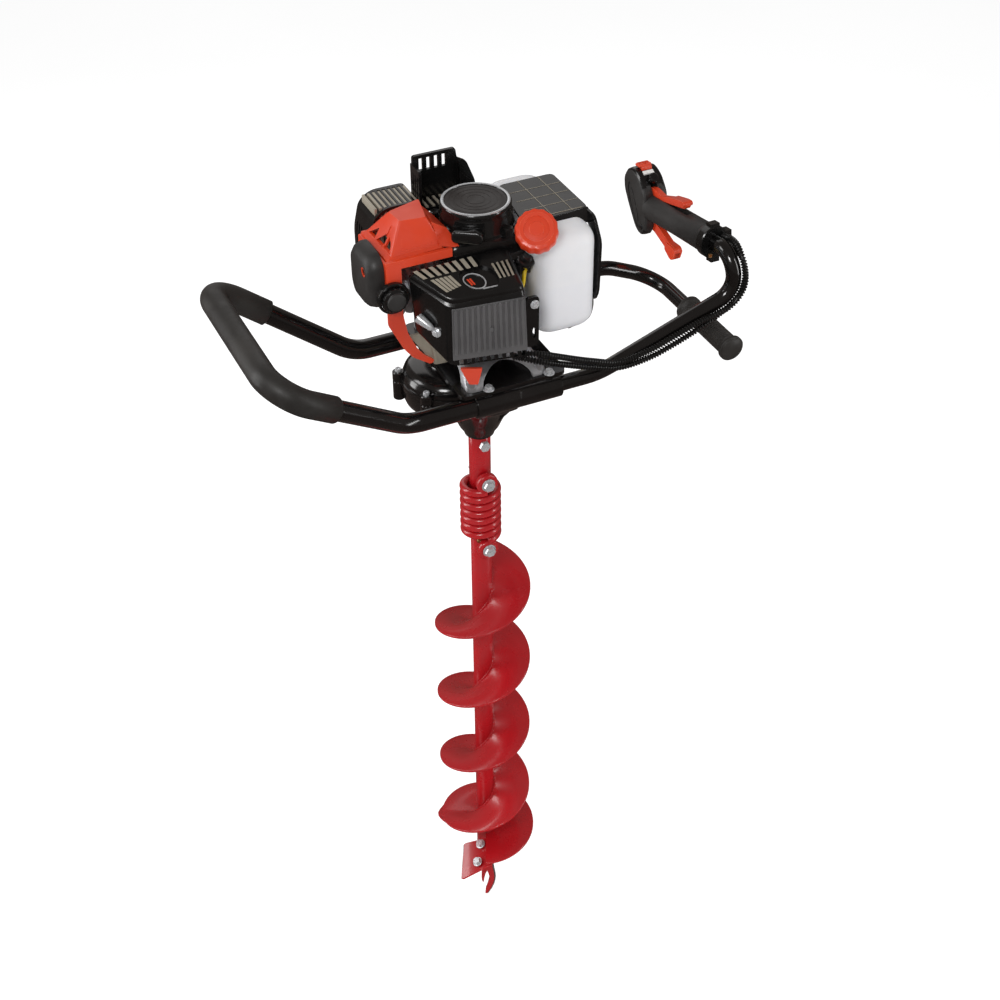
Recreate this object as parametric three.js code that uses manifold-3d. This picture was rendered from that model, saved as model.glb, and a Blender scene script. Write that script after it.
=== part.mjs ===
// Engine-driven hand auger for ice and earth: bit, shock spring, gearbox, engine and handlebars.
// Units are millimetres. The origin is the tip of the centre point, on the drive axis, +Z is up,
// +X points to the operator's throttle side and -Y to the muffler side.
import * as THREE from 'three';
import { mergeVertices } from 'three/addons/utils/BufferGeometryUtils.js';
import { RoundedBoxGeometry } from 'three/addons/geometries/RoundedBoxGeometry.js';
import Module from 'manifold-3d';

const wasm = await Module();
wasm.setup();

// ---------- driving dimensions ----------
const PITCH = 150;                 // rise of the flighting per turn
const FLIGHT_R = 76.2;             // six inch bit
const FLIGHT_THICK = 4.5;
const FLIGHT_FROM = 0.68;          // turns, measured from the +X direction at z = 0
const FLIGHT_TO = 5.2;
const TUBE_R = 15.9;               // auger tube
const AUGER_TUBE_TOP = 860;
const LOWER_BOLT_Z = 836;
const UPPER_BOLT_Z = 961;
const COIL_LOW_Z = 852;
const COIL_HIGH_Z = 946;
const COIL_R = 25.4;               // centre of the spring wire
const WIRE_R = 6;
const COIL_TURNS = 7;
const ADAPTER_R = 16.3;
const DRIVE_BOLT_Z = 1025;
const BOSS_BOTTOM = 1040;          // lowest face of the gear case
const CASE_SPLIT = 1148;
const CASE_TOP = 1176;
const CASE_R = 78;
const LOBE_R = 67;
const LAYSHAFT_X = -45;
const GEAR_MODULE = 1.8;
const PINION_TEETH = 10;
const WHEEL_TEETH = 40;
const PLATE_LOW = 1178;            // handle carrier plate
const PLATE_HIGH = 1184;
const BAR_Y = 100;                 // the two handlebar tubes run at y = -100 and y = 100
const BAR_Z = 1162;
const LOOP_BAR_R = 14.3;
const GRIP_BAR_R = 11.1;
const PAD_R = 18.3;
const SLEEVE_R = 17.2;
const CRANK_Z = 1312;              // centre of the crank pin
const CRANK_THROW = 17;
const CYL_Z = CRANK_Z;             // the cylinder lies along -X at this height
const DISC_TOP = 1420;             // top of the rope starter
const GRIP_X = 346;                // throttle grip axis, which falls a little towards its head
const GRIP_Z = 1287.5;
const GRIP_SLOPE = 0.15;
const GAP = 0.3;                   // gap left between neighbours
// Facets round a circle, by size.
const FINE = 18;
const MEDIUM = 14;
const SMALL = 12;
const TINY = 8;

// ---------- finishes ----------
const finish = (hex, roughness, metalness) =>
  new THREE.MeshStandardMaterial({ color: hex, roughness, metalness });
const RED = () => finish(0xa81e24, 0.35, 0.1);
const BLACK = () => finish(0x16171a, 0.3, 0.1);
const MATT = () => finish(0x202124, 0.8, 0);
const ORANGE = () => finish(0xe9441f, 0.4, 0);
const ALLOY = () => finish(0xb9bcc0, 0.45, 0.8);
const ZINC = () => finish(0xc9ccd0, 0.3, 0.9);
const STEEL = () => finish(0x8d9095, 0.35, 0.9);
const WHITE = () => finish(0xf0f0ee, 0.5, 0);

// ---------- helpers ----------
const part = new THREE.Group();
const addTo = (group, name, shape, material) => {
  const mesh = new THREE.Mesh(shape.isBufferGeometry ? shape : meshed(shape), material);
  mesh.name = name;
  group.add(mesh);
};
const add = (name, shape, material) => addTo(part, name, shape, material);

// A closed three.js geometry as a solid that can be joined and cut.
const solid = (geometry) => {
  const g = geometry.clone();
  g.deleteAttribute('normal');
  g.deleteAttribute('uv');
  const m = mergeVertices(g, 1e-3);
  const vertProperties = new Float32Array(m.attributes.position.array);
  const triVerts = new Uint32Array(m.index.array);
  return new wasm.Manifold(new wasm.Mesh({ numProp: 3, vertProperties, triVerts }));
};
const asSolid = (shape) => (shape.isBufferGeometry ? solid(shape) : shape);
const meshed = (manifold) => {
  const m = manifold.getMesh();
  const g = new THREE.BufferGeometry();
  g.setAttribute('position', new THREE.BufferAttribute(m.vertProperties.slice(), 3));
  g.setIndex(new THREE.BufferAttribute(m.triVerts.slice(), 1));
  g.computeVertexNormals();
  return g;
};
const join = (...shapes) => shapes.map(asSolid).reduce((a, b) => a.add(b));
const cut = (shape, ...tools) => tools.map(asSolid).reduce((a, b) => a.subtract(b), asSolid(shape));
const meet = (a, b) => asSolid(a).intersect(asSolid(b));

const box = (x0, x1, y0, y1, z0, z1) =>
  new THREE.BoxGeometry(x1 - x0, y1 - y0, z1 - z0)
    .translate((x0 + x1) / 2, (y0 + y1) / 2, (z0 + z1) / 2);
const softBox = (x0, x1, y0, y1, z0, z1, r, segments = 1) =>
  new RoundedBoxGeometry(x1 - x0, y1 - y0, z1 - z0, segments, r)
    .translate((x0 + x1) / 2, (y0 + y1) / 2, (z0 + z1) / 2);
// A solid of revolution about +Z from [radius, z] points that start and end on the axis,
// or close on themselves.
const turned = (profile, sides = MEDIUM) =>
  new THREE.LatheGeometry(profile.map(([r, z]) => new THREE.Vector2(r, z)), sides)
    .rotateX(Math.PI / 2);
// A bore's flats, not its corners, touch its stated radius, so a shaft of that radius clears it.
const corner = (r, sides) => r / Math.cos(Math.PI / sides);
const disc = (r, z0, z1, sides = MEDIUM) => turned([[0, z0], [r, z0], [r, z1], [0, z1]], sides);
const hole = (r, z0, z1, sides = MEDIUM) => disc(corner(r, sides), z0, z1, sides);
const ring = (bore, r, z0, z1, sides = MEDIUM) => {
  const b = corner(bore, sides);
  return turned([[b, z0], [r, z0], [r, z1], [b, z1], [b, z0]], sides);
};
// Turned shapes laid along another axis and moved to a place.
const alongX = (g, x, y, z) => g.rotateY(Math.PI / 2).translate(x, y, z);
const alongY = (g, x, y, z) => g.rotateX(-Math.PI / 2).translate(x, y, z);
const hexHead = (across, height) => disc(across / 2 / Math.cos(Math.PI / 6), 0, height, 6);

const polygon = (r, sides, turn = 0) =>
  Array.from({ length: sides }, (_, i) => {
    const a = turn + (i * 2 * Math.PI) / sides;
    return new THREE.Vector2(r * Math.cos(a), r * Math.sin(a));
  });
const roundSection = (r, bore, sides) => {
  const shape = new THREE.Shape(polygon(r, sides));
  if (bore) shape.holes.push(new THREE.Path(polygon(corner(bore, sides), sides)));
  return shape;
};
const plate = (points, z0, z1, holes = []) => {
  const shape = new THREE.Shape(points.map(([x, y]) => new THREE.Vector2(x, y)));
  holes.forEach((hole) => shape.holes.push(new THREE.Path(hole)));
  const g = new THREE.ExtrudeGeometry(shape, { depth: z1 - z0, bevelEnabled: false });
  return g.translate(0, 0, z0);
};

// A plate drawn in the (Y, Z) plane, between two X positions, and one drawn in the (X, Z) plane,
// between two Y positions.
const sidePlate = (points, x0, x1) => plate(points, x0, x1).applyMatrix4(new THREE.Matrix4().makeBasis(
  new THREE.Vector3(0, 1, 0), new THREE.Vector3(0, 0, 1), new THREE.Vector3(1, 0, 0),
));
const sideways = (points, y0, y1) => plate(points, -y1, -y0).rotateX(Math.PI / 2);

// A closed solid between two outlines with the same number of corners, listed anticlockwise as
// seen from above, the low one first. The outlines may be flat or gently warped.
const loft = (low, high) => {
  const n = low.length;
  const faces = [];
  for (let i = 0; i < n; i += 1) {
    const j = (i + 1) % n;
    faces.push(i, j, n + j, i, n + j, n + i);
  }
  for (let i = 1; i < n - 1; i += 1) faces.push(0, i + 1, i, n, n + i, n + i + 1);
  const g = new THREE.BufferGeometry().setFromPoints([...low, ...high]);
  g.setIndex(faces);
  return g;
};
const frustum = (low, high, z0, z1) => loft(
  low.map(([x, y]) => new THREE.Vector3(x, y, z0)),
  high.map(([x, y]) => new THREE.Vector3(x, y, z1)),
);

// A path of straight runs joined by round bends, with one station at each end of a run and
// several round each bend, so that a swept tube has rings only where it needs them.
class BentPath extends THREE.Curve {
  constructor(corners, radii, degreesPerStation = 30) {
    super();
    const p = corners.map((c) => new THREE.Vector3(...c));
    this.stations = [{ at: p[0], dir: p[1].clone().sub(p[0]).normalize() }];
    for (let i = 1; i < p.length - 1; i += 1) {
      const into = p[i].clone().sub(p[i - 1]).normalize();
      const out = p[i + 1].clone().sub(p[i]).normalize();
      const angle = into.angleTo(out);
      const radius = radii[i - 1];
      const start = p[i].clone().addScaledVector(into, -radius * Math.tan(angle / 2));
      const axis = into.clone().cross(out).normalize();
      const centre = start.clone().addScaledVector(axis.clone().cross(into), radius);
      const count = Math.max(1, Math.ceil(THREE.MathUtils.radToDeg(angle) / degreesPerStation));
      for (let k = 0; k <= count; k += 1) {
        const turn = (angle * k) / count;
        const arm = start.clone().sub(centre).applyAxisAngle(axis, turn);
        this.stations.push({ at: centre.clone().add(arm), dir: into.clone().applyAxisAngle(axis, turn) });
      }
    }
    const last = p[p.length - 1];
    this.stations.push({ at: last, dir: last.clone().sub(p[p.length - 2]).normalize() });
  }
  station(t) {
    return this.stations[Math.round(t * (this.stations.length - 1))];
  }
  getPoint(t) { return this.station(t).at.clone(); }
  getPointAt(u) { return this.getPoint(u); }
  getTangent(t) { return this.station(t).dir.clone(); }
  getTangentAt(u) { return this.getTangent(u); }
}
const sweep = (path, shape, steps = path.stations.length - 1) =>
  new THREE.ExtrudeGeometry(shape, { steps, extrudePath: path, bevelEnabled: false });

// ---------- bit: tube, flighting, blades and point ----------
// The flighting rises one pitch a turn, but the last turn above its leading edge is flatter.
const FLAT_TURN = 1.43;
const FLAT_PITCH = 52;
const flightHeight = (turns) =>
  PITCH * Math.max(turns, FLAT_TURN) - FLAT_PITCH * Math.max(0, FLAT_TURN - turns);
// A helical plate of constant thickness between two radii, at a height given for each angle.
const helicoid = (innerR, outerRAt, heightAt, thick, from, to, stepsPerTurn) => {
  const steps = Math.round((to - from) * stepsPerTurn);
  const vertices = [];
  const faces = [];
  for (let i = 0; i <= steps; i += 1) {
    const turns = from + ((to - from) * i) / steps;
    const a = turns * 2 * Math.PI;
    const z = heightAt(turns);
    const outerR = outerRAt(turns);
    [[innerR, z], [outerR, z], [outerR, z + thick], [innerR, z + thick]].forEach(([r, h]) =>
      vertices.push(r * Math.cos(a), r * Math.sin(a), h));
  }
  for (let i = 0; i < steps; i += 1) {
    for (let k = 0; k < 4; k += 1) {
      const a = 4 * i + k;
      const b = 4 * i + ((k + 1) % 4);
      faces.push(a, b, b + 4, a, b + 4, a + 4);
    }
  }
  const e = 4 * steps;
  faces.push(0, 2, 1, 0, 3, 2, e, e + 1, e + 2, e, e + 2, e + 3);
  const g = new THREE.BufferGeometry();
  g.setAttribute('position', new THREE.Float32BufferAttribute(vertices, 3));
  g.setIndex(faces.map((_, i) => faces[i - (i % 3) + [0, 2, 1][i % 3]]));
  return g;
};
const boltHoleY = (r, z) => alongY(hole(r, -60, 60, TINY), 0, 0, z);
const TUBE_BOTTOM = 96;
const FLARE = 7.5;                 // the cutting end is wider than the flighting above it
const bottomFlare = (turns) => FLIGHT_R + FLARE * Math.max(0, Math.min(1, (1.45 - turns) / 0.35));
const FLIGHT_STEPS = 16;           // facets per turn
const flightBore = corner(TUBE_R + GAP, FLIGHT_STEPS);
add('flighting', helicoid(
  flightBore, bottomFlare, flightHeight, FLIGHT_THICK, FLIGHT_FROM, FLIGHT_TO, FLIGHT_STEPS,
), RED());
// The second start of the cutting end is a short plate opposite the first one. It is welded to the
// tube, and the long flighting is a plate of its own.
const LEAD_Z = flightHeight(FLIGHT_FROM);
const SECOND_DROP = 12;            // the second leading edge is lower than the first
const secondHeight = (turns) => LEAD_Z - SECOND_DROP + 130 * (turns - FLIGHT_FROM);
const secondStart = helicoid(TUBE_R - 1, () => FLIGHT_R + 11, secondHeight, FLIGHT_THICK,
  FLIGHT_FROM, FLIGHT_FROM + 0.27, 18)
  .rotateZ(Math.PI);
add('auger_tube', cut(
  join(ring(TUBE_R - 2.6, TUBE_R, TUBE_BOTTOM, AUGER_TUBE_TOP, MEDIUM), secondStart),
  boltHoleY(5.4, LOWER_BOLT_Z),
), RED());

// Each cutting blade is bolted under a leading edge and slopes down ahead of it, so its outer
// corner reaches lowest.
const LEAD_ANGLE = FLIGHT_FROM * 2 * Math.PI;
const BLADE_THICK = 4;
const bladeCorners = [
  [24, -40, -13], [80, -44, -43], [82, 10, 0], [20, 10, 0],
];
const blade = (turn, drop) => {
  const under = LEAD_Z - drop - GAP;
  const low = bladeCorners.map(([r, y, z]) => new THREE.Vector3(r, y, under + z - BLADE_THICK));
  const high = bladeCorners.map(([r, y, z]) => new THREE.Vector3(r, y, under + z));
  return loft(low, high).rotateZ(LEAD_ANGLE + turn);
};
add('cutting_blade_front', blade(0, 0), RED());
add('cutting_blade_rear', blade(Math.PI, SECOND_DROP), RED());
// Fishtail point: a flat curved claw with a small flat tip on the axis.
const pointOutline = [
  [-3, 0], [3, 0], [9, 12], [14, 27], [16.5, 45], [15, 62], [12.5, 84], [12.5, 92], [-11, 92], [-8, 78],
  [1, 62], [5, 45], [2, 27], [-2, 12],
];
const spade = plate(pointOutline, -3, 3).rotateX(Math.PI / 2).rotateZ(-0.44);
const shank = disc(TUBE_R - 3.2, 84, 112, SMALL);
add('centre_point', join(spade, shank), STEEL());

// ---------- shock spring and its bolts ----------
class Coil extends THREE.Curve {
  getPoint(t) {
    const a = (t * COIL_TURNS - 0.25) * 2 * Math.PI;
    const z = COIL_LOW_Z + t * (COIL_HIGH_Z - COIL_LOW_Z);
    return new THREE.Vector3(COIL_R * Math.cos(a), COIL_R * Math.sin(a), z);
  }
}
const wire = new THREE.ExtrudeGeometry(roundSection(WIRE_R, 0, 6), {
  steps: COIL_TURNS * 8, extrudePath: new Coil(), bevelEnabled: false,
});
// The wire ends in an eye at each end, in front of the tube, and a cross bolt holds the eye.
const EYE_FRONT = -29;
const EYE_BACK = -17.5;
const eye = (z) => alongY(disc(16.5, EYE_FRONT, EYE_BACK, SMALL), 0, 0, z);
add('shock_spring', cut(
  join(wire, eye(UPPER_BOLT_Z), eye(LOWER_BOLT_Z)),
  boltHoleY(5.6, UPPER_BOLT_Z), boltHoleY(5.6, LOWER_BOLT_Z),
), RED());
const crossBolt = (front, back, z) => join(
  alongY(disc(5, front - 1, back + 1, TINY), 0, 0, z),
  alongY(hexHead(17, 6.5), 0, back + GAP, z),
  alongY(hexHead(17, 6.5), 0, front - GAP - 6.5, z),
);
add('upper_spring_bolt', crossBolt(EYE_FRONT, ADAPTER_R, UPPER_BOLT_Z), ZINC());
add('lower_spring_bolt', crossBolt(EYE_FRONT, TUBE_R, LOWER_BOLT_Z), ZINC());

// ---------- drive: adapter tube, output shaft and gears ----------
const SHAFT_R = 11.5;
add('adapter_tube', cut(
  ring(SHAFT_R + GAP, ADAPTER_R, 932, BOSS_BOTTOM - 3, MEDIUM),
  boltHoleY(5.4, UPPER_BOLT_Z), boltHoleY(5.4, DRIVE_BOLT_Z),
), RED());
add('drive_bolt', crossBolt(-ADAPTER_R, ADAPTER_R, DRIVE_BOLT_Z), ZINC());

// A spur gear outline with straight-sided teeth and generous backlash.
const gearOutline = (teeth, phase) => {
  const pitchR = (GEAR_MODULE * teeth) / 2;
  const tip = pitchR + 0.75 * GEAR_MODULE;
  const root = pitchR - 1.05 * GEAR_MODULE;
  const step = (2 * Math.PI) / teeth;
  return Array.from({ length: teeth }, (_, i) => i * step + phase).flatMap((a) => [
    [root, -0.25], [tip, -0.09], [tip, 0.09], [root, 0.25],
  ].map(([r, k]) => new THREE.Vector2(r * Math.cos(a + k * step), r * Math.sin(a + k * step))));
};
const gear = (teeth, z0, z1, phase, bore) => {
  const shape = new THREE.Shape(gearOutline(teeth, phase));
  if (bore) shape.holes.push(new THREE.Path(polygon(bore, SMALL)));
  return new THREE.ExtrudeGeometry(shape, { depth: z1 - z0, bevelEnabled: false }).translate(0, 0, z0);
};
const HALF_TOOTH = Math.PI / WHEEL_TEETH;
add('output_gear', gear(WHEEL_TEETH, 1126, 1136, HALF_TOOTH, 12.6), STEEL());
add('output_shaft', cut(
  turned([[0, 1000], [SHAFT_R, 1000], [SHAFT_R, 1050], [12, 1050], [12, 1142], [0, 1142]], MEDIUM),
  boltHoleY(5.4, DRIVE_BOLT_Z),
), STEEL());
add('layshaft', join(
  disc(6, 1118, 1170, SMALL).translate(LAYSHAFT_X, 0, 0),
  gear(PINION_TEETH, 1123, 1139, 0, 0).translate(LAYSHAFT_X, 0, 0),
  gear(WHEEL_TEETH, 1152, 1161, HALF_TOOTH, 0).translate(LAYSHAFT_X, 0, 0),
), STEEL());
add('clutch_drum', join(
  gear(PINION_TEETH, 1150, 1164, 0, 0).rotateZ(Math.PI),
  disc(5.5, 1147, 1204, SMALL),
  cut(disc(34, 1202, 1230, FINE), disc(31, 1205, 1231, FINE)),
), STEEL());

// ---------- gear case ----------
const caseBody = (inset) => {
  const r = CASE_R - inset;
  const lobe = LOBE_R - inset;
  const top = CASE_TOP - inset;
  const main = turned([
    [0, BOSS_BOTTOM], [21, BOSS_BOTTOM], [30, 1056], [47 - inset, 1092], [r - 20, 1108 + inset],
    [r, 1122 + inset],
    [r, top - 10], [r - 12, top], [0, top],
  ], FINE);
  const side = turned([
    [0, 1110 + inset], [lobe - 16, 1112 + inset], [lobe, 1126 + inset], [lobe, top - 14],
    [lobe - 14, top], [0, top],
  ], FINE).translate(LAYSHAFT_X, 0, 0);
  return join(main, side);
};
const WALL = 4;
const slab = (z0, z1) => box(-200, 200, -200, 200, z0, z1);
const flange = (z0, z1) => join(
  disc(CASE_R + 2, z0, z1, FINE),
  disc(LOBE_R + 2, z0, z1, FINE).translate(LAYSHAFT_X, 0, 0),
);
const cavity = meet(caseBody(WALL), slab(1080, CASE_TOP));
const outer = caseBody(0);
const BEARING_R = 21;
const caseEars = [[-112, 26], [-100, -46], [62, 56], [62, -56]];
const ear = (z0, z1) => caseEars.map(([x, y]) => disc(9, z0, z1, TINY).translate(x, y, 0));
const earHole = (r) => caseEars.map(([x, y]) => disc(r, 1000, 1300, TINY).translate(x, y, 0));
add('gear_case_lower', cut(
  join(meet(outer, slab(BOSS_BOTTOM, CASE_SPLIT - 0.2)), flange(CASE_SPLIT - 5, CASE_SPLIT - 0.2),
    ...ear(CASE_SPLIT - 16, CASE_SPLIT - 0.2)),
  cavity, hole(13, 1030, 1100), hole(BEARING_R, 1062, 1100), hole(17, 1030, 1050), ...earHole(3.6),
), BLACK());
add('gear_case_upper', cut(
  join(meet(outer, slab(CASE_SPLIT, CASE_TOP)), flange(CASE_SPLIT, CASE_SPLIT + 5),
    ...ear(CASE_SPLIT, CASE_SPLIT + 16)),
  cavity, hole(8, 1160, 1190), ...earHole(3.6),
), BLACK());
add('output_bearing', ring(12.6, BEARING_R - 0.2, 1064, 1076, MEDIUM), STEEL());
add('output_seal', ring(12.3, 16.8, 1042, 1048, MEDIUM), MATT());
const [screwX, screwY] = caseEars[0];
add('case_screw', join(
  disc(3.2, CASE_SPLIT - 14, CASE_SPLIT + 18, TINY), hexHead(9, 5).translate(0, 0, CASE_SPLIT + 16.3),
).translate(screwX, screwY, 0), ZINC());

// ---------- handle carrier, bars and grips ----------
const SLEEVE_BORE = LOOP_BAR_R + GAP;
const clampSleeve = (side) => alongX(ring(SLEEVE_BORE, SLEEVE_R, -52, 77, SMALL), 0, side * BAR_Y, BAR_Z);
const screwHole = (x, side) => disc(3.6, BAR_Z, 1230, TINY).translate(x, side * BAR_Y, 0);
const SCREW_X = [-30, 62];
add('handle_carrier', cut(
  join(
    plate([[-72, -104], [88, -104], [88, 104], [-72, 104]], PLATE_LOW, PLATE_HIGH),
    clampSleeve(-1), clampSleeve(1),
  ),
  ...[-1, 1].map((side) => alongX(hole(SLEEVE_BORE, -60, 80, SMALL), 0, side * BAR_Y, BAR_Z)),
  disc(38, 1170, 1200, FINE),
  ...SCREW_X.flatMap((x) => [-1, 1].map((side) => screwHole(x, side))),
), BLACK());
add('clamp_screw', join(
  disc(3.2, BAR_Z + LOOP_BAR_R + 0.2, PLATE_HIGH + 2, TINY),
  hexHead(10, 5).translate(0, 0, PLATE_HIGH + 1),
).translate(SCREW_X[1], -BAR_Y, 0), ZINC());

const LOOP_CORNERS = [
  [72, -BAR_Y, BAR_Z], [-150, -BAR_Y, BAR_Z], [-343, -152, 1296],
  [-343, 152, 1296], [-150, BAR_Y, BAR_Z], [72, BAR_Y, BAR_Z],
];
const LOOP_BENDS = [70, 46, 46, 70];
const loopSection = roundSection(LOOP_BAR_R, LOOP_BAR_R - 2.4, SMALL);
const gripBarSection = roundSection(GRIP_BAR_R, GRIP_BAR_R - 2, TINY + 2);
add('left_loop_tube', sweep(new BentPath(LOOP_CORNERS, LOOP_BENDS), loopSection),
  BLACK());
// The padded sleeve covers the outer part of the loop.
const between = (a, b, k) => a.map((v, i) => v + (b[i] - v) * k);
const PAD_CORNERS = [
  between(LOOP_CORNERS[1], LOOP_CORNERS[2], 0.58), LOOP_CORNERS[2], LOOP_CORNERS[3],
  between(LOOP_CORNERS[4], LOOP_CORNERS[3], 0.58),
];
const padSection = roundSection(PAD_R, LOOP_BAR_R + GAP, SMALL);
add('loop_pad', sweep(new BentPath(PAD_CORNERS, [46, 46]), padSection), MATT());

const FRONT_BAR = [
  [12, -BAR_Y, BAR_Z], [140, -BAR_Y, BAR_Z], [352, -103, 1241], [GRIP_X, -103, GRIP_Z + 103 * GRIP_SLOPE],
  [GRIP_X, 95, GRIP_Z - 95 * GRIP_SLOPE],
];
add('right_front_bar', sweep(new BentPath(FRONT_BAR, [120, 34, 31]), gripBarSection),
  BLACK());
const REAR_GRIP_Z = 1160;
const REAR_BAR = [
  [12, BAR_Y, BAR_Z], [122, BAR_Y, BAR_Z], [240, BAR_Y, 1205], [GRIP_X - 4, BAR_Y, REAR_GRIP_Z],
  [GRIP_X - 4, -120, REAR_GRIP_Z],
];
add('right_rear_bar', sweep(new BentPath(REAR_BAR, [120, 90, 46]), gripBarSection),
  BLACK());
const GRIP_BORE = 11.6;
add('rear_grip', turned([
  [0, 0], [17, 0], [19, 3], [19, 7], [16.2, 9], [15.6, 116], [20, 120], [20, 126],
  [GRIP_BORE, 126], [GRIP_BORE, 6], [0, 6],
], MEDIUM).rotateX(-Math.PI / 2).translate(GRIP_X - 4, -128, REAR_GRIP_Z), MATT());

// ---------- throttle grip ----------
// Built round the bar axis: local Y runs along the bar towards the head, local Z is up.
const throttle = new THREE.Group();
throttle.position.set(GRIP_X, 0, GRIP_Z);
throttle.rotation.x = -Math.atan(GRIP_SLOPE);
part.add(throttle);
const HEAD_START = 112;
const HALF_HEAD = 20;
const headOutline = [
  [HEAD_START, -22], [115, -32], [123, -43], [134, -46], [146, -38], [164, -8], [177, 18], [177, 38],
  [164, 52], [146, 56], [128, 46], [118, 32], [HEAD_START, 22],
];
const TRIGGER_PIN = [134, -24];
const LOCK_PIN = [122, 24];
const PIN_R = 2;
const pinHole = ([y, z]) => alongX(hole(PIN_R + GAP, -12, 12, TINY), 0, y, z);
const pin = ([y, z]) => alongX(disc(PIN_R, -11, 11, TINY), 0, y, z);
const SLOT = 5.2;
const LEVER = 4.4;
const barBore = hole(GRIP_BAR_R + 0.4, -70, 104, SMALL).rotateX(-Math.PI / 2);
const housing = (x0, x1) => cut(
  join(
    meet(alongY(disc(21.5, -40, HEAD_START, MEDIUM), 0, 0, 0), box(x0, x1, -40, HEAD_START, -30, 30)),
    sidePlate(headOutline, x0, x1),
  ),
  barBore, box(-SLOT, SLOT, 74, 148, -60, -13), box(-SLOT, SLOT, 14, 130, 12.5, 60),
  box(-9, 9, 138, 160, 40, 70), pinHole(TRIGGER_PIN), pinHole(LOCK_PIN),
);
addTo(throttle, 'throttle_housing_left', housing(-HALF_HEAD, -0.1), MATT());
addTo(throttle, 'throttle_housing_right', housing(0.1, HALF_HEAD), MATT());
addTo(throttle, 'throttle_trigger', join(
  sidePlate([[138, -28], [136, -20], [114, -20], [96, -28], [68, -41], [54, -43], [49, -49], [57, -64],
    [65, -64], [86, -50], [112, -38], [130, -33]], -LEVER, LEVER),
  pin(TRIGGER_PIN),
), ORANGE());
addTo(throttle, 'lockout_lever', join(
  sidePlate([[126, 19], [126, 29], [112, 30], [88, 25], [56, 29], [26, 33], [18, 31], [20, 25], [60, 19],
    [100, 18]], -LEVER, LEVER),
  pin(LOCK_PIN),
), ORANGE());
addTo(throttle, 'stop_switch', softBox(-7.5, 7.5, 139, 151, 42, 61, 1.5), ORANGE());
const COLLAR_PORTS = [[14.5, 6.5], [16.5, -5.5]];
addTo(throttle, 'grip_collar', cut(
  join(alongY(disc(24, -56, -40.5, MEDIUM), 0, 0, 0), box(6, 27, -56, -40.5, -13, 14)),
  hole(GRIP_BAR_R + 0.4, -70, -30, SMALL).rotateX(-Math.PI / 2),
  ...COLLAR_PORTS.map(([x, z]) => alongY(hole(5.3, -70, -48, TINY), x, 0, z)),
), BLACK());

// ---------- engine base, crankcase and crank ----------
const FEET = [[-51, -90], [51, -90], [51, 90], [-51, 90]];
const BASE_TOP = 1266;
const leg = ([x, y]) => {
  const reach = Math.hypot(x, y);
  const outline = [
    [32, 1214], [reach - 34, 1208], [reach - 12, 1198], [reach - 9, PLATE_HIGH + GAP],
    [reach + 9, PLATE_HIGH + GAP], [reach + 7, 1200], [reach * 0.6, 1226], [32, 1238],
  ];
  return plate(outline, -7, 7).rotateX(Math.PI / 2).rotateZ(Math.atan2(y, x));
};
add('engine_base', cut(
  join(disc(43, 1208, BASE_TOP, MEDIUM), ...FEET.map(leg)),
  hole(36, 1190, 1252, MEDIUM), hole(11, 1240, 1280, SMALL),
), ALLOY());
const CASE_LOW = BASE_TOP + GAP;
const CASE_HIGH = CRANK_Z + 34;
const WEB_R = 30;
add('crankcase', cut(
  join(disc(46, CASE_LOW, CASE_HIGH, FINE), box(-62, -30, -30, 30, CRANK_Z - 30, CRANK_Z + 30)),
  hole(WEB_R + 3, CRANK_Z - 23, CRANK_Z + 23, FINE), hole(11, CASE_LOW - 5, CASE_HIGH + 5, SMALL),
  alongX(hole(22, -80, 0, MEDIUM), 0, 0, CYL_Z),
), ALLOY());
// The crankshaft is pressed together from two halves. Its pin stays with the rod.
const JOURNAL_R = 10;
const shoeSlot = (turn) => box(14, 40, -1.2, 1.2, 1200, 1240).rotateZ(turn);
add('crank_half_lower', join(
  disc(WEB_R, CRANK_Z - 21, CRANK_Z - 8, MEDIUM), disc(JOURNAL_R, 1216, CRANK_Z - 20, SMALL),
  cut(disc(28, 1212, 1226, MEDIUM), shoeSlot(0.6), shoeSlot(0.6 + Math.PI)),
), STEEL());
const FLYWHEEL_Z = CASE_HIGH + 6;
add('crank_half_upper', join(
  disc(WEB_R, CRANK_Z + 8, CRANK_Z + 21, MEDIUM), disc(JOURNAL_R, CRANK_Z + 20, FLYWHEEL_Z - GAP, SMALL),
), STEEL());
const ROD_LENGTH = 62;
const PIN_X = -CRANK_THROW;
const WRIST_X = PIN_X - ROD_LENGTH;
const upright = (r, half, x) => disc(r, CRANK_Z - half, CRANK_Z + half, SMALL).translate(x, 0, 0);
add('connecting_rod', join(
  upright(7, 7.4, PIN_X), upright(12, 5, PIN_X), upright(7.5, 5, WRIST_X), upright(4.5, 14, WRIST_X),
  box(WRIST_X + 6, PIN_X - 8, -4, 4, CRANK_Z - 4, CRANK_Z + 4),
), STEEL());
const PISTON_R = 19.8;
const CROWN_X = WRIST_X - 16;
add('piston', cut(
  alongX(disc(PISTON_R, 0, 28, MEDIUM), CROWN_X, 0, CYL_Z),
  alongX(disc(16, 5, 40, SMALL), CROWN_X, 0, CYL_Z),
  hole(4.8, CRANK_Z - 17, CRANK_Z + 17, TINY).translate(WRIST_X, 0, 0),
), ALLOY());
const FINS = 4;
const finned = Array.from({ length: FINS }, (_, i) => {
  const x = -123 + i * 14;
  return [[25, x], [36, x], [36, x + 4], [25, x + 4]];
}).flat();
add('cylinder', cut(
  turned([[0, -126], [25, -126], ...finned, [25, -63], [0, -63]], MEDIUM)
    .rotateY(Math.PI / 2).translate(0, 0, CYL_Z),
  alongX(hole(PISTON_R + 0.2, 0, 70, MEDIUM), CROWN_X - 2, 0, CYL_Z),
  alongX(hole(5, -10, 40, TINY), -130, 0, CYL_Z),
), ALLOY());
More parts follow.
